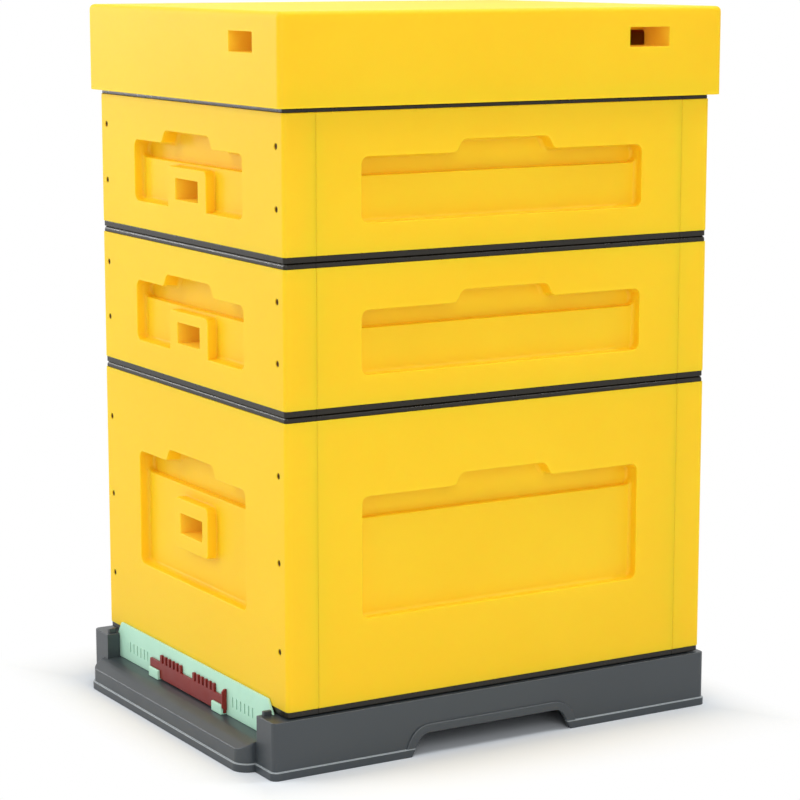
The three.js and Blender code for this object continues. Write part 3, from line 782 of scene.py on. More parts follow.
def boss_tool(kind, face, wall_top):
    """What stays standing round the slot, with a rounded edge and a fillet at its foot"""
    field_bottom = wall_top - kind.recess_drop - kind.recess_height
    slot_middle = field_bottom + kind.slot_rise
    x = span(kind.boss_width / 2)
    if kind.boss_stands_clear:
        z = (slot_middle - kind.boss_height / 2, slot_middle + kind.boss_height / 2)
    else:
        z = (field_bottom - recess_corner_radius, field_bottom + kind.boss_height)
    points = rectangle(x, z, boss_corner_radius)
    floor = boss_floor_radius
    edge = [(lip_radius * (1 - cosine), lip_radius * (sine - 1)) for sine, cosine in quarter()]
    foot = [(recess_depth - floor * (1 - sine), floor * (1 - cosine)) for sine, cosine in quarter()]
    profile = [(-2 * cut_overrun, -lip_radius)]
    profile += [(depth, growth + draft_share * depth) for depth, growth in edge + foot]
    profile.append((groove_depth, floor + draft_share * recess_depth))
    return through(points, profile, into(face))


def handhold_cut(kind, face, wall_top, has_slot):
    """The shallow field with the deeper groove along its top, and what stands round a slot left out"""
    bottom = wall_top - kind.recess_drop - kind.recess_height
    field_points = field_outline(kind, face, wall_top, bottom, recess_corner_radius)
    field = through(field_points, sunk(recess_depth, floor_radius, lip_radius), into(face))
    groove = groove_cut(kind, face, wall_top)
    if has_slot:
        field = cut(field, boss_tool(kind, face, wall_top))
    return joined(field, groove)


def foamed(mesh, is_deep):
    """Gives a foam shape its look, and the faces whose middle is_deep a paler copy of the foam with a
    painted glow, which stands in for the light inside a hole
    """
    mesh.materials.clear()
    mesh.materials.append(foam)
    mesh.materials.append(painted_glow_foam)
    for side in mesh.polygons:
        side.material_index = int(is_deep(side.center))
    return mesh


def slot_span(kind, wall_top):
    """The slot's lower and upper edge"""
    middle = wall_top - kind.recess_drop - kind.recess_height + kind.slot_rise
    return (middle - slot_height / 2, middle + slot_height / 2)


def slot_cut(kind, face, wall_top):
    """The slot right through an end wall, with a rounded lip"""
    points = rectangle(span(slot_width / 2), slot_span(kind, wall_top), 1, 3)
    depth = box_half_length - inner_half_length + cut_overrun
    profile = [(depth, -slot_narrowing)] + drafted(lipped(slot_lip_radius))
    profile.append((-cut_overrun, slot_lip_radius))
    return through(points, profile, into(face))


def screw_spots(kind, face, wall_bottom):
    """Where the screws sit, as drawn on an end wall"""
    across = face.half_width - screw_inset
    return [(u, wall_bottom + rise) for u in (-across, across) for rise in kind.screw_rises]


def screw_holes(kind, face, wall_bottom):
    """The counterbores of one end wall"""
    profile = [(screw_hole_depth, 0)] + lipped(screw_lip_radius, 3)
    profile.append((-cut_overrun, screw_lip_radius))
    return [
        through(circle(screw_hole_radius, 16, *spot), profile, into(face))
        for spot in screw_spots(kind, face, wall_bottom)
    ]


def end_wall(name, kind, face_name):
    """A front or back wall, thinner at its ends where the side walls lap it"""
    face = faces[face_name]
    low, high = corners(f"{name}_{face_name}_wall")
    toward = face.out.y
    outer = toward * box_half_length
    seam = toward * seam_half_length
    inner = toward * inner_half_length
    corner_points = [
        (-box_half_width, outer, wall_corner_radius), (box_half_width, outer, wall_corner_radius),
        (box_half_width, seam, seam_corner_radius), (inner_half_width, seam, 0),
        (inner_half_width, inner, seam_corner_radius), (-inner_half_width, inner, seam_corner_radius),
        (-inner_half_width, seam, 0), (-box_half_width, seam, seam_corner_radius),
    ]
    if toward > 0:
        corner_points.reverse()
    panel = through(outline(corner_points), rounded_ends(low.z, high.z, wall_edge), upward)
    has_slot = face_name == "front"
    cuts = [ear_rebate(name, toward), handhold_cut(kind, face, high.z, has_slot)]
    cuts += screw_holes(kind, face, low.z)
    if has_slot:
        cuts.append(slot_cut(kind, face, high.z))
    return cut(panel, *cuts)


def rebate_reach(name):
    """How far from the middle the room for the frames' ears ends"""
    return corners(f"{name}_frame_01")[1].y + ear_clearance


def ear_rebate(name, toward):
    """The step that the ears of the frames hang in"""
    ear_low = corners(f"{name}_frame_01")[1].z - ear_height
    top = corners(f"{name}_top_rim")[1].z
    y = ordered(toward * (inner_half_length - cut_overrun), toward * rebate_reach(name))
    return block(span(inner_half_width), y, (ear_low, top))


def side_wall(name, kind, face_name):
    """A side wall is a plain board between the end walls"""
    face = faces[face_name]
    low, high = corners(f"{name}_{face_name}_wall")
    plan = rectangle((low.x, high.x), span(seam_half_length), seam_corner_radius, 3)
    panel = through(plan, rounded_ends(low.z, high.z, wall_edge), upward)
    return cut(panel, handhold_cut(kind, face, high.z, False))


# Rims, frames and screws
def ring(outer, inner, bottom, top, edge, upper_edge=None):
    """A flat frame between two outlines with as many points each, its edges rounded"""
    out_shape = rounded_ends(bottom, top, edge, upper_edge)
    in_shape = rounded_ends(bottom, top, edge)
    outside = [[upward(p, z) for p in grown(outer, growth)] for z, growth in out_shape]
    inside = [[upward(p, z) for p in grown(inner, -growth)] for z, growth in in_shape]
    return lofted(outside + inside[::-1], around=True)


def rim(name, which):
    """A rim, with the fine splits between its strips at the seams of the walls"""
    low, high = corners(f"{name}_{which}_rim")
    on_top = which == "top"
    inner_y = rebate_reach(name) if on_top else inner_half_length
    upper_edge = top_rim_edge if on_top else rim_edge
    outer = rectangle(span(rim_half_width), span(rim_half_length), rim_corner_radius)
    inner = rectangle(span(inner_half_width), span(inner_y), 0.5)
    band = ring(outer, inner, low.z, high.z, rim_edge, upper_edge)
    deep = rim_split_depth
    cuts = []
    for x in (-1, 1):
        across = ordered(x * (rim_half_width - deep), x * (rim_half_width + deep))
        for y in (-1, 1):
            middle = y * seam_half_length
            along = (middle - rim_split_width / 2, middle + rim_split_width / 2)
            cuts.append(block(across, along, (low.z - deep, high.z + deep)))
    return cut(band, *cuts)


def bar(x, y, z, edge=0.8):
    """A planed bar with eased edges"""
    spans = [(x, 0), (y, 1), (z, 2)]
    axis = max(spans, key=lambda item: item[0][1] - item[0][0])[1]
    if axis == 1:
        return through(rectangle(x, z, edge, 2), rounded_ends(y[0], y[1], edge), backward)
    return through(rectangle(x, y, edge, 2), rounded_ends(z[0], z[1], edge), upward)


def frame_bars(name):
    """The bars of the first frame of a box: those along Y, those that stand, and its foundation"""
    low, high = corners(f"{name}_frame_01")
    middle = (low.x + high.x) / 2
    top, bottom = high.z, low.z
    between_sides = frame_body_half - side_bar_thickness
    overlap = 1
    post_top = top - top_bar_height - 0.3

    def x(width):
        return (middle - width / 2, middle + width / 2)

    lying = merged([
        joined(
            bar(x(frame_bar_width), span(frame_body_half), (top - top_bar_height, top)),
            bar(x(frame_bar_width), (low.y, high.y), (top - ear_height, top)),
        ),
        bar(x(bottom_bar_width), span(between_sides), (bottom, bottom + bottom_bar_height)),
    ])
    standing = []
    for way in (-1, 1):
        y = ordered(way * between_sides, way * frame_body_half)
        post = bar(x(frame_bar_width), y, (bottom, post_top))
        standing.append(joined(post, bar(x(shoulder_width), y, (top - shoulder_drop, post_top))))
    sheet_z = (bottom + bottom_bar_height - overlap, top - top_bar_height + overlap)
    sheet = bar(x(foundation_thickness), span(between_sides), sheet_z, 0.3)
    return lying, merged(standing), sheet


def hang_frames(name, body):
    lying, standing, sheet = frame_bars(name)
    step = Vector((frame_pitch, 0, 0))
    lying = repeated(shaded(lying), frame_count, step, wood_along_y)
    standing = repeated(shaded(standing), frame_count, step, wood_along_z)
    nodes = [f"{name}_frame_{i + 1:02d}" for i in range(frame_count)]
    settle(merged([lying, standing]), f"{name}_frames_wood", body, "frame_wood", nodes)
    sheets = repeated(sheet, frame_count, step, wax)
    settle(sheets, f"{name}_frames_foundation", body, "frame_wood")


def screw_head():
    """A countersunk head with a cross recess, facing +Z"""
    top = screw_head_height
    profile = [(0, -1.2), (top * 0.7, 0), (top * 0.9, -0.1), (top, -0.5)]
    head = through(circle(screw_head_radius, 20), profile, upward)
    arms = [(span(cross_reach), span(cross_half_width)), (span(cross_half_width), span(cross_reach))]
    cross = joined(*[block(x, y, (top * 0.35, top + cut_overrun)) for x, y in arms])
    return shaded(cut(head, cross))


def drive_screws(name, kind, body):
    wall_bottom = corners(f"{name}_front_wall")[0].z
    rows = []
    for face_name, turn in (("front", math.pi / 2), ("back", -math.pi / 2)):
        face = faces[face_name]
        place = into(face)
        spots = screw_spots(kind, face, wall_bottom)
        points = [place(Vector(spot), screw_hole_depth) for spot in spots]
        rows.append(placed_on(points, screw_head(), (turn, 0, 0), screw_look))
    settle(merged(rows), f"{name}_screws", body, "rim_plastic")


def make_box(name):
    body = f"{name}_box"
    kind = kinds[name]
    slot_z = slot_span(kind, corners(f"{name}_front_wall")[1].z)

    def in_slot(middle):
        near = abs(middle.x) < slot_width / 2 + 1 and slot_z[0] - 1 < middle.z < slot_z[1] + 1
        return near and recess_depth + slot_lip_radius < middle.y + box_half_length < groove_depth * 2

    for side in ("front", "back"):
        wall = foamed(shaded(end_wall(name, kind, side)), in_slot)
        settle(wall, f"{name}_{side}_foam", body, "yellow_polystyrene", [f"{name}_{side}_wall"])
    for side in ("left", "right"):
        wall = shaded(side_wall(name, kind, side))
        settle(wall, f"{name}_{side}_foam", body, "yellow_polystyrene", [f"{name}_{side}_wall"], foam)
    for edge in ("bottom", "top"):
        band = shaded(rim(name, edge))
        settle(band, f"{name}_{edge}_rim_strips", body, "rim_plastic", [f"{name}_{edge}_rim"], rim_look)
    hang_frames(name, body)
    drive_screws(name, kind, body)


# Inner cover and roof
feeding_hole_half_width = 20
feeding_hole_half_length = 60
cover_lip = 0.8
roof_corner_radius = 6
roof_wall = 38
roof_thickness = 26
room_bevel = 3
lap_clearance = 2
vent_width = 53
vent_height = 21.5
vent_drop = 32.3
end_vent_offset = 149
side_vent_offset = 180


def inner_cover():
    """A thin board with a long hole for feeding"""
    low, high = corners("inner_cover")
    plan = rectangle((low.x, high.x), (low.y, high.y), 4)
    board = through(plan, rounded_ends(low.z, high.z, 1), upward)
    hole = rectangle(
        span(feeding_hole_half_width), span(feeding_hole_half_length), feeding_hole_half_width, 10
    )
    lip = cover_lip
    flare = [(low.z - cut_overrun, lip)]
    flare += [(low.z + lip * (1 - c), lip * (1 - s)) for s, c in quarter(3)]
    flare += [(high.z - lip * (1 - c), lip * (1 - s)) for s, c in reversed(quarter(3))]
    flare.append((high.z + cut_overrun, lip))
    return shaded(cut(board, through(hole, flare, upward)))


def roof():
    """One thick shell with a room inside, a lap over the rim below it and a vent in each side"""
    low, high = corners("roof")
    plan = rectangle((low.x, high.x), (low.y, high.y), roof_corner_radius, 8)
    shell = through(plan, rounded_ends(low.z, high.z, wall_edge, roof_corner_radius), upward)
    ledge_z = corners("inner_cover")[1].z
    lip = rectangle(span(box_half_width + lap_clearance), span(box_half_length + lap_clearance), 1)
    lap_profile = [
        (low.z - cut_overrun, wall_edge), (low.z, wall_edge), (low.z + wall_edge, 0), (ledge_z, 0)
    ]
    room_half_x = box_half_width - roof_wall
    room_half_y = box_half_length - roof_wall
    room = rectangle(span(room_half_x), span(room_half_y), 10)
    room_top = high.z - roof_thickness
    room_profile = [(low.z - cut_overrun, 0), (room_top - room_bevel, 0), (room_top, -room_bevel)]
    cuts = [through(lip, lap_profile, upward), through(room, room_profile, upward)]
    vent_top = high.z - vent_drop + vent_height / 2
    vent_lip = lip_radius * 0.6
    overhang = high.x - box_half_width
    at_end, at_side = (end_vent_offset, room_half_y), (side_vent_offset, room_half_x)
    for side, (offset, room_end) in zip(("front", "right", "back", "left"), (at_end, at_side) * 2):
        face = faces[side]
        x = (offset - vent_width / 2, offset + vent_width / 2)
        vent = rectangle(x, (vent_top - vent_height, vent_top), 1, 3)
        profile = [(face.reach - room_end + cut_overrun, -0.3)]
        profile += [(depth - overhang, growth) for depth, growth in lipped(vent_lip, 3)]
        profile.append((-overhang - cut_overrun, vent_lip))
        cuts.append(through(vent, profile, into(face)))

    def in_vent(middle):
        inside = abs(middle.x) < high.x - 3 and abs(middle.y) < high.y - 3
        beyond_room = abs(middle.x) > room_half_x + 1 or abs(middle.y) > room_half_y + 1
        return inside and beyond_room and vent_top - vent_height - 0.5 < middle.z < vent_top + 0.5

    return foamed(shaded(cut(shell, *cuts)), in_vent)


# Bottom board
base_low, base_high = corners("bottom_board")
flange_reach = 2
flange_height = 9
flange_edge = 1.2
flange_fillet = 0.8
foot_edge = 0.4
base_half_width = base_high.x - flange_reach
seat_top = corners("brood_bottom_rim")[0].z
seat_height = 1.3
base_top = seat_top - seat_height
seat_inset = 8
passage_height = 28.2
floor_top = base_top - passage_height
skin = 4
floor_bottom = floor_top - skin
post_reach = 19
post_front = -box_half_length - post_reach
post_corner_radius = 6
landing_front = base_low.y + flange_reach
landing_drop = 10.5
landing_slope_drop = 1.75
landing_corner_radius = 16
landing_edge = 1.6
base_back = base_high.y - flange_reach
entrance_half = 191
entrance_edge = 1.2
post_edge_radius = 1.4
landing_offset = 7
landing_half = base_half_width - 34.5
groove_front = -273.3
groove_back = -270.2
groove_half = 199.5
slope_reach = 12
rib = 3
cells_in_a_row = 7
peg_inset = 4
peg_width = 5
peg_length = 10
peg_gap = 1.7
peg_height = 5.5
window_side_margin = 12
window_end_margin = 10

# Openings in the bottom board's sides, and the raised band round them
cutout_half_length = 104
cutout_slant = 13
cutout_height = 24.5
cutout_corner_radius = 9
cutout_lip = 0.8
band_width = 10
band_edge = 1.6

# Runners of the tray, and the tray
runner_clearance = 0.7
runner_play = 0.3
runner_width = 9
runner_thickness = 3
runner_overreach = 12
tray_wall = 2
tray_lip_half_width = 45


def landing_side(bottom, lowered, x):
    """What lies under the landing's slope and the floor behind it"""
    top = floor_top - lowered
    front_top = top - landing_drop
    profile = outline([
        (landing_front - cut_overrun, bottom, 0), (groove_back, bottom, 0), (groove_back, top, 0),
        (post_front, top, slope_reach), (landing_front, front_top, 0),
        (landing_front - cut_overrun, front_top - landing_slope_drop, 0),
    ])
    return through(profile, plain_ends(x[0] - 1, x[1] + 1), sideways)


def landing():
    """The sloping lip in front of the posts, rounded along its upper edge"""
    x = (-landing_offset - landing_half, landing_half - landing_offset)
    plan = rectangle(x, (landing_front, -inner_half_length), landing_corner_radius, 12)
    board = common(through(plan, plain_ends(0, floor_top + 1), upward), landing_side(-cut_overrun, 0, x))
    front_top = floor_top - landing_drop

    def upper_edge(middle, direction, normals):
        in_front = middle.z > front_top - 3 and middle.y < post_front - 1
        return in_front and min(normal.z for normal in normals) < 0.3

    return softened(board, landing_edge, upper_edge, 4)


def base_flange(x, y, radius):
    """The flange round the foot, rounded on top and filleted where it meets the wall"""
    top, fillet = flange_height, flange_fillet
    profile = rounded_ends(0, top, foot_edge, flange_edge)
    profile += [(top + fillet * (1 - c), fillet * (1 - s) - flange_reach) for s, c in quarter()]
    profile.append((top + fillet, -flange_reach - fillet))
    return through(rectangle(x, y, radius, 10), profile, upward)


def cutout_outline(grow):
    """The opening in a side, drawn in Y and Z and down past the ground"""
    middle = (landing_front + base_back) / 2
    low = cutout_half_length + grow
    high = low - cutout_slant
    top = cutout_height + grow
    radius = cutout_corner_radius + grow
    under = -20
    return outline([
        (middle - low, under, 0), (middle + low, under, 0), (middle + low, 0, 0),
        (middle + high, top, radius), (middle - high, top, radius), (middle - low, 0, 0),
    ], 8)


def cutout_band(side):
    """The raised band that frames the opening in a side"""
    outside = side * (base_half_width + flange_reach)
    profile = [(side * (base_half_width - skin), 0), (side * base_half_width, 0)]
    profile += [(outside - side * depth, -growth) for depth, growth in lipped(band_edge)]
    band = through(cutout_outline(band_width), profile, sideways)
    return common(band, block(span(base_half_width * 2), (landing_front, base_back), (0, base_top)))


def cutout_hole(side):
    outside = side * (base_half_width + flange_reach)
    profile = [(side * (base_half_width - skin - cut_overrun), 0)]
    profile += [(outside - side * depth, growth) for depth, growth in lipped(cutout_lip)]
    profile.append((outside + side * cut_overrun, cutout_lip))
    return through(cutout_outline(0), profile, sideways)


def base_outside():
    """The bottom board before anything is cut from it"""
    out = flange_reach
    plan = rectangle(span(base_half_width), (post_front, base_back), post_corner_radius, 8)
    body = through(plan, rounded_ends(0, base_top, foot_edge, flange_edge), upward)
    flange_y = (post_front - out, base_back + out)
    flange = base_flange(span(base_half_width + out), flange_y, post_corner_radius + out)
    lip_x = (-landing_offset - landing_half - out, landing_half - landing_offset + out)
    lip_y = (landing_front - out, -inner_half_length)
    lip = base_flange(lip_x, lip_y, landing_corner_radius + out)
    seat_plan = rectangle(span(box_half_width - seat_inset), span(box_half_length - seat_inset), 4)
    seat = through(seat_plan, rounded_ends(floor_top, seat_top, foot_edge), upward)
    bands = [cutout_band(-1), cutout_band(1)]
    return joined(body, flange, landing(), lip, seat, *bands, post_peg(-1), post_peg(1))


def post_peg(side):
    """A small peg on a post, in front of the groove's end"""
    near = entrance_half + peg_inset
    back = groove_front - peg_gap
    plan = rectangle(ordered(side * near, side * (near + peg_width)), (back - peg_length, back), 1.2, 4)
    return through(plan, rounded_ends(floor_top, base_top + peg_height, 0.4, 0.8), upward)


def cells(start, end):
    """The spans of a row of hollow cells with ribs between them"""
    step = (end - start + rib) / cells_in_a_row
    return [(start + i * step, start + (i + 1) * step - rib) for i in range(cells_in_a_row)]


def base_rooms():
    """The hollow underside: the room under the floor, and the cells under the deck"""
    room_x = base_half_width - skin
    room_y = (post_front + skin, base_back - skin)
    lip_half = landing_half - skin
    lip_x = (-landing_offset - lip_half, lip_half - landing_offset)
    lip_plan = rectangle(lip_x, (landing_front + skin, room_y[0] + 16), 12)
    lip_room = through(lip_plan, plain_ends(-cut_overrun, floor_bottom), upward)
    rooms = [
        block(span(room_x), room_y, (-cut_overrun, floor_bottom)),
        common(lip_room, landing_side(-2 * cut_overrun, skin, lip_x)),
    ]
    deck = (floor_bottom - cut_overrun, base_top - skin)
    inner_x = entrance_half + skin
    for y in [(room_y[0], groove_front - skin)] + cells(groove_back + skin, room_y[1]):
        rooms.append(block((inner_x, room_x), y, deck))
        rooms.append(block((-room_x, -inner_x), y, deck))
    for x in cells(rib - inner_x, inner_x - rib):
        rooms.append(block(x, (inner_half_length + skin, room_y[1]), deck))
    return rooms


def entrance_cuts():
    """The passage between the posts, with its upper edges rounded, and the bend down to the landing"""
    plan = rectangle(span(entrance_half), (post_front - 30, inner_half_length))
    profile = [(floor_top, 0)]
    profile += [(base_top - depth, growth) for depth, growth in lipped(entrance_edge)]
    profile.append((base_top + cut_overrun, entrance_edge))
    over = floor_top + 1
    bend = outline([
        (groove_front, floor_top, 0), (post_front, floor_top, slope_reach),
        (landing_front, floor_top - landing_drop, 0), (landing_front, over, 0), (groove_front, over, 0),
    ])
    return through(plan, profile, upward), through(bend, plain_ends(*span(entrance_half)), sideways)


def post_edge(middle, direction, normals):
    at_passage = abs(abs(middle.x) - entrance_half) < 1 and middle.y < post_front + 2
    return at_passage and abs(direction.z) > 0.9


def tray_runner(side):
    """A rail with a foot, hung under the floor for one edge of the tray"""
    low, high = corners("inspection_tray")
    inside = high.x + runner_clearance
    outside = inside + runner_thickness
    y = (low.y - runner_overreach, base_back - skin)
    top = low.z - runner_play
    bottom = top - runner_thickness
    web = block(ordered(side * inside, side * outside), y, (bottom, floor_bottom + 1))
    foot = block(ordered(side * (inside - runner_width), side * outside), y, (bottom, top))
    return joined(web, foot)


def bottom_board():
    """The bottom board's one moulding, with the window under the mesh and the door for the tray"""
    body = softened(cut(base_outside(), *entrance_cuts()), post_edge_radius, post_edge)
    mesh_low, mesh_high = corners("ventilation_mesh")
    window_x = span(mesh_high.x - window_side_margin)
    window_y = (mesh_low.y + window_end_margin, mesh_high.y - window_end_margin)
    window = block(window_x, window_y, (-cut_overrun, floor_top + 1))
    grooves = block(span(groove_half), (groove_front, groove_back), (floor_top, base_top + cut_overrun))
    body = cut(body, window, *base_rooms(), cutout_hole(-1), cutout_hole(1), grooves)
    body = joined(body, tray_runner(-1), tray_runner(1))
    tray_low, tray_high = corners("inspection_tray")
    door_y = (base_back - skin - 2, base_back + 5)
    door_z = (tray_low.z - runner_play, tray_high.z + runner_play)
    return shaded(cut(body, block(span(tray_high.x + runner_clearance), door_y, door_z)))


def tray():
    """A shallow pan with a lip to pull it out by"""
    low, high = corners("inspection_tray")
    back = base_back
    pan_plan = rectangle((low.x, high.x), (low.y, back), 1.5, 4)
    pan = through(pan_plan, rounded_ends(low.z, high.z, 0.6), upward)
    floor = low.z + tray_wall
    room_y = (low.y + tray_wall, back - 2 * tray_wall)
    room_plan = rectangle((low.x + tray_wall, high.x - tray_wall), room_y, 3, 4)
    room = through(room_plan, [(floor, -1.5), (floor + 1.5, 0), (high.z + cut_overrun, 0)], upward)
    lip_plan = rectangle(span(tray_lip_half_width), (back - tray_wall, high.y), 2.2, 4)
    lip = through(lip_plan, rounded_ends(low.z, floor, 0.5), upward)
    return shaded(joined(cut(pan, room), lip))


def ventilation_mesh():
    """Crossing wires at a fine pitch inside a folded edge"""
    low, high = corners("ventilation_mesh")
    pitch = 3.2
    half = 0.35
    weave = 0.3
    edge = 9
    x = (low.x + edge / 2, high.x - edge / 2)
    y = (low.y + edge / 2, high.y - edge / 2)
    z = low.z + 0.8
    across = block(x, (y[0] - half, y[0] + half), (z - half, z + half))
    along = block((x[0] - half, x[0] + half), y, (z - half + weave, z + half + weave))
    rows = repeated(across, int((y[1] - y[0]) / pitch), (0, pitch, 0), steel)
    columns = repeated(along, int((x[1] - x[0]) / pitch), (pitch, 0, 0), steel)
    outer = rectangle((low.x, high.x), (low.y, high.y), 2)
    inner = rectangle((low.x + edge, high.x - edge), (low.y + edge, high.y - edge), 1)
    fold = shaded(ring(outer, inner, low.z, high.z, 0.5))
    fold.materials.append(steel)
    return merged([rows, columns, fold])


# Entrance block and slider
block_low, block_high = corners("entrance_block")
slider_low, slider_high = corners("entrance_slider")
entrance_offset = 5
entrance_middle = (block_low.x + block_high.x) / 2 - entrance_offset
plate_thickness = 2.5
plate_corner_width = 11
plate_corner_height = 15
plate_back = block_high.y
plate_front = plate_back - plate_thickness
small_passage_half = 65
small_passage_height = 14
slit_count = 6
slit_step = 9.5
slit_half_width = 1.1
slit_rise = 11.4
slit_length = 12
slit_offset = 132.5
hook_offset = 69
hook_length = 23.5
hook_height = 11
hook_thickness = 3
strip_thickness = 3
strip_height = 19
tooth_count = 6
tooth_step = 9.8
tooth_width = 5
tooth_height = 9
fin_thickness = 2.5
fin_bottom = slider_low.z + 4
fin_top = slider_low.z + 28


def entrance_block():
    """A plate with chamfered upper corners, the passage, thin slits, and two hooks in front"""
    low, high = block_low, block_high
    side_top = high.z - plate_corner_height
    left, right = low.x + plate_corner_width, high.x - plate_corner_width
    shape = outline([
        (low.x, low.z, 0.6), (high.x, low.z, 0.6), (high.x, side_top, 0.8),
        (right, high.z, 0.8), (left, high.z, 0.8), (low.x, side_top, 0.8),
    ], 3)
    plate = through(shape, rounded_ends(plate_front, plate_back, 0.4), backward)
    right_through = plain_ends(plate_front - cut_overrun, plate_back + cut_overrun)
    passage_x = (entrance_middle - small_passage_half, entrance_middle + small_passage_half)
    passage = rectangle(passage_x, (low.z - cut_overrun, low.z + small_passage_height), 1, 3)
    cuts = [through(passage, right_through, backward)]
    slit_z = (low.z + slit_rise, low.z + slit_rise + slit_length)
    for side in (-1, 1):
        first = entrance_middle + side * slit_offset - (slit_count - 1) / 2 * slit_step
        slit = rectangle((first - slit_half_width, first + slit_half_width), slit_z, 1, 4)
        pin = through(slit, right_through, backward)
        cuts.append(repeated(pin, slit_count, (slit_step, 0, 0), mint_look))
    return shaded(joined(cut(plate, *cuts), hook(-1), hook(1)))


def hook(side):
    """A foot under the strip and a lip in front of it"""
    front = block_low.y
    lip_back = front + hook_thickness
    back = plate_front + 1
    bottom = block_low.z
    top = bottom + hook_height
    near = entrance_middle + side * hook_offset
    profile = outline([
        (front, bottom, 0.5), (back, bottom, 0), (back, bottom + 1, 0),
        (lip_back, bottom + 1, 0.4), (lip_back, top, 0.8), (front, top, 1.2),
    ], 3)
    return through(profile, rounded_ends(*ordered(near, near + side * hook_length), 0.5), sideways)


def entrance_slider():
    """A strip with two groups of teeth and a fin to pull at"""
    low, high = slider_low, slider_high
    back = high.y
    front = back - strip_thickness
    thickness = rounded_ends(front, back, 0.4)
    fin_left = high.x - fin_thickness
    strip_top = low.z + strip_height
    strip = through(rectangle((low.x, fin_left + 1), (low.z, strip_top), 0.8, 3), thickness, backward)
    first = entrance_middle - hook_offset
    last = entrance_middle + hook_offset - tooth_width
    tooth = rectangle((first, first + tooth_width), (strip_top - 2, strip_top + tooth_height), 0.9, 3)
    left_tooth = through(tooth, thickness, backward)
    right_tooth = left_tooth.copy()
    right_tooth.transform(Matrix.Translation((last - (tooth_count - 1) * tooth_step - first, 0, 0)))
    teeth = [repeated(one, tooth_count, (tooth_step, 0, 0), red_look) for one in (left_tooth, right_tooth)]
    fin = outline([
        (back, fin_bottom, 0.6), (back, fin_top, 0.6), (front, fin_top, 0.8),
        (low.y, fin_top - 3, 1.2), (low.y, fin_bottom + 3, 1.2), (front, fin_bottom, 0.8),
    ], 5)
    handle = through(fin, rounded_ends(fin_left, high.x, 0.5), sideways)
    return shaded(joined(strip, *teeth, handle))


# Floor, light and camera: each lamp has its place, size, power and what it aims at
floor_reach = 30
lamps = (
    ("key", (-1.5, -2.9, 2.6), (1.8, 1.8), 50, (0, 0, 0.4)),
    ("fill", (4.0, -1.2, 2.2), (2.6, 2.6), 58, (0, 0, 0.4)),
    ("top", (0.3, 0.2, 4.2), (3.0, 3.0), 90, (0, 0, 0)),
    ("left", (-3.1, -1.78, 0.95), (0.6, 0.6), 13, (0, -0.27, 0.4)),
    ("behind", (1.0, 2.05, 3.4), (0.2, 1.6), 19, (0.23, 0, 0)),
)


def studio():
    scene = bpy.context.scene
    scene.view_settings.view_transform = "Standard"
    reach = floor_reach
    floor_points = [(-reach, -reach, 0), (reach, -reach, 0), (reach, reach, 0), (-reach, reach, 0)]
    mesh = bpy.data.meshes.new("floor")
    mesh.from_pydata(floor_points, [], [(0, 1, 2, 3)])
    floor = bpy.data.objects.new("floor", mesh)
    scene.collection.objects.link(floor)
    mesh.materials.append(white_floor())
    scene.world = white_world()
    for lamp in lamps:
        area_lamp(*lamp)


def seen_by_eye(nodes, links):
    """One for a ray that shows a surface to the camera, straight or by a mirror or glass"""
    path = nodes.new("ShaderNodeLightPath")
    seen = path.outputs["Is Camera Ray"]
    for kind in ("Is Glossy Ray", "Is Transmission Ray"):
        either = nodes.new("ShaderNodeMath")
        either.operation = "MAXIMUM"
        links.new(seen, either.inputs[0])
        links.new(path.outputs[kind], either.inputs[1])
        seen = either.outputs[0]
    return seen


def white_floor():
    """A pale floor that takes the hive's shadow and turns to plain white away from it. Near the hive it is
    painted greyer, as painted shade that deepens the shadow there, and it is tinted blue against the
    yellow light that the hive throws on it
    """
    look = Finish("white_floor")
    reaches = look.node("ShaderNodeSeparateXYZ", {0: look.vector("ABSOLUTE", look.places)}).outputs
    beside = look.mapped(reaches["X"], 0, 1, 0.25, 0.376)
    before = look.mapped(reaches["Y"], 0, 1, 0.293, 0.365)
    away = look.number("MAXIMUM", beside, before)
    # Painted shade: greyer near the hive, where the shadow falls; the bluish tint offsets the hive's
    # yellow light
    near = look.mixed(look.noise(2.0), (0.75, 0.79, 0.835, 1), (0.76, 0.8, 0.845, 1))
    look.join("Base Color", look.mixed(away, near, (0.89, 0.94, 0.99, 1)))
    look.set("Roughness", 0.9)
    look.set("Specular IOR Level", 0.0)
    seen = seen_by_eye(look.tree.nodes, look.tree.links)
    share = look.number("MULTIPLY", away, seen)
    white = look.node("ShaderNodeEmission", {"Color": (1, 1, 1, 1), "Strength": 1.0}).outputs[0]
    blend = look.node("ShaderNodeMixShader", {0: share, 1: look.shader.outputs[0], 2: white})
    look.tree.links.new(blend.outputs[0], look.tree.nodes["Material Output"].inputs["Surface"])
    return look.material


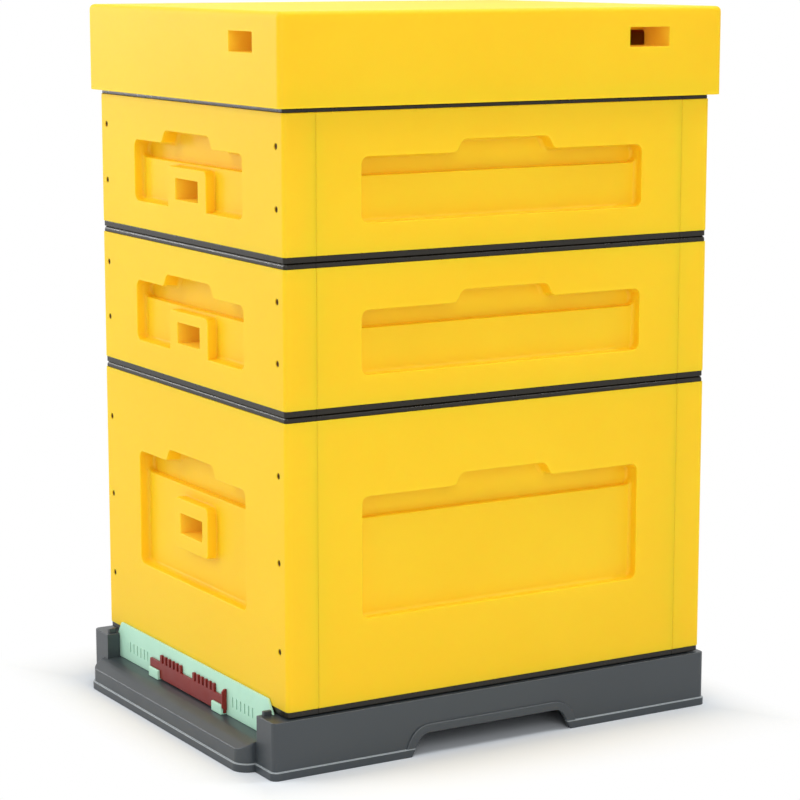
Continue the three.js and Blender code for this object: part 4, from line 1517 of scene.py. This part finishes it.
def white_world():
    """White to the camera and in gloss and glass, and a soft grey light otherwise"""
    world = bpy.data.worlds.new("studio")
    world.use_nodes = True
    nodes = world.node_tree.nodes
    links = world.node_tree.links
    background = nodes["Background"]
    background.inputs["Color"].default_value = (1, 1, 1, 1)
    strength = nodes.new("ShaderNodeMapRange")
    strength.inputs["To Min"].default_value = 0.42
    strength.inputs["To Max"].default_value = 1
    links.new(seen_by_eye(nodes, links), strength.inputs["Value"])
    links.new(strength.outputs["Result"], background.inputs["Strength"])
    return world


def area_lamp(name, place, size, power, aim):
    lamp = bpy.data.lights.new(name, "AREA")
    lamp.shape = "RECTANGLE"
    lamp.size, lamp.size_y = size
    lamp.energy = power
    holder = bpy.data.objects.new(name, lamp)
    holder.location = place
    holder.rotation_euler = (Vector(aim) - Vector(place)).to_track_quat("-Z", "Y").to_euler()
    bpy.context.scene.collection.objects.link(holder)


def photograph_camera():
    """The camera at the photograph's viewing angle, found from the corners of the boxes"""
    azimuth = math.radians(59.36)
    elevation = math.radians(9.79)
    focal_pixels = 2577
    frame_pixels = 800
    camera = bpy.data.cameras.new("photograph")
    camera.sensor_width = 36
    camera.lens = camera.sensor_width * focal_pixels / frame_pixels
    view = Vector((-math.sin(azimuth), math.cos(azimuth), -math.tan(elevation))).normalized()
    holder = bpy.data.objects.new("photograph", camera)
    holder.location = (2.5376, -1.4870, 0.8572)
    holder.rotation_euler = view.to_track_quat("-Z", "Y").to_euler()
    bpy.context.scene.collection.objects.link(holder)
    bpy.context.scene.camera = holder


photograph_camera()
studio()
single_pieces = (
    (bottom_board, "bottom_board", "moulding", "bottom_board", "base_plastic", base_look),
    (ventilation_mesh, "ventilation_mesh", "wires", "bottom_board", "mesh_steel", None),
    (tray, "inspection_tray", "pan", "inspection_tray", "tray_plastic", tray_look),
    (entrance_block, "entrance_block", "plate", "entrance_block", "mint_plastic", mint_look),
    (entrance_slider, "entrance_slider", "strip", "entrance_slider", "red_plastic", red_look),
)
for make, node, form, body, slot, look in single_pieces:
    settle(make(), f"{node}_{form}", body, slot, [node], look)
for box_name in box_names:
    make_box(box_name)
settle(inner_cover(), "inner_cover_board", "inner_cover", "cover_plastic", ["inner_cover"], cover_look)
settle(roof(), "roof_foam", "roof", "yellow_polystyrene", ["roof"])
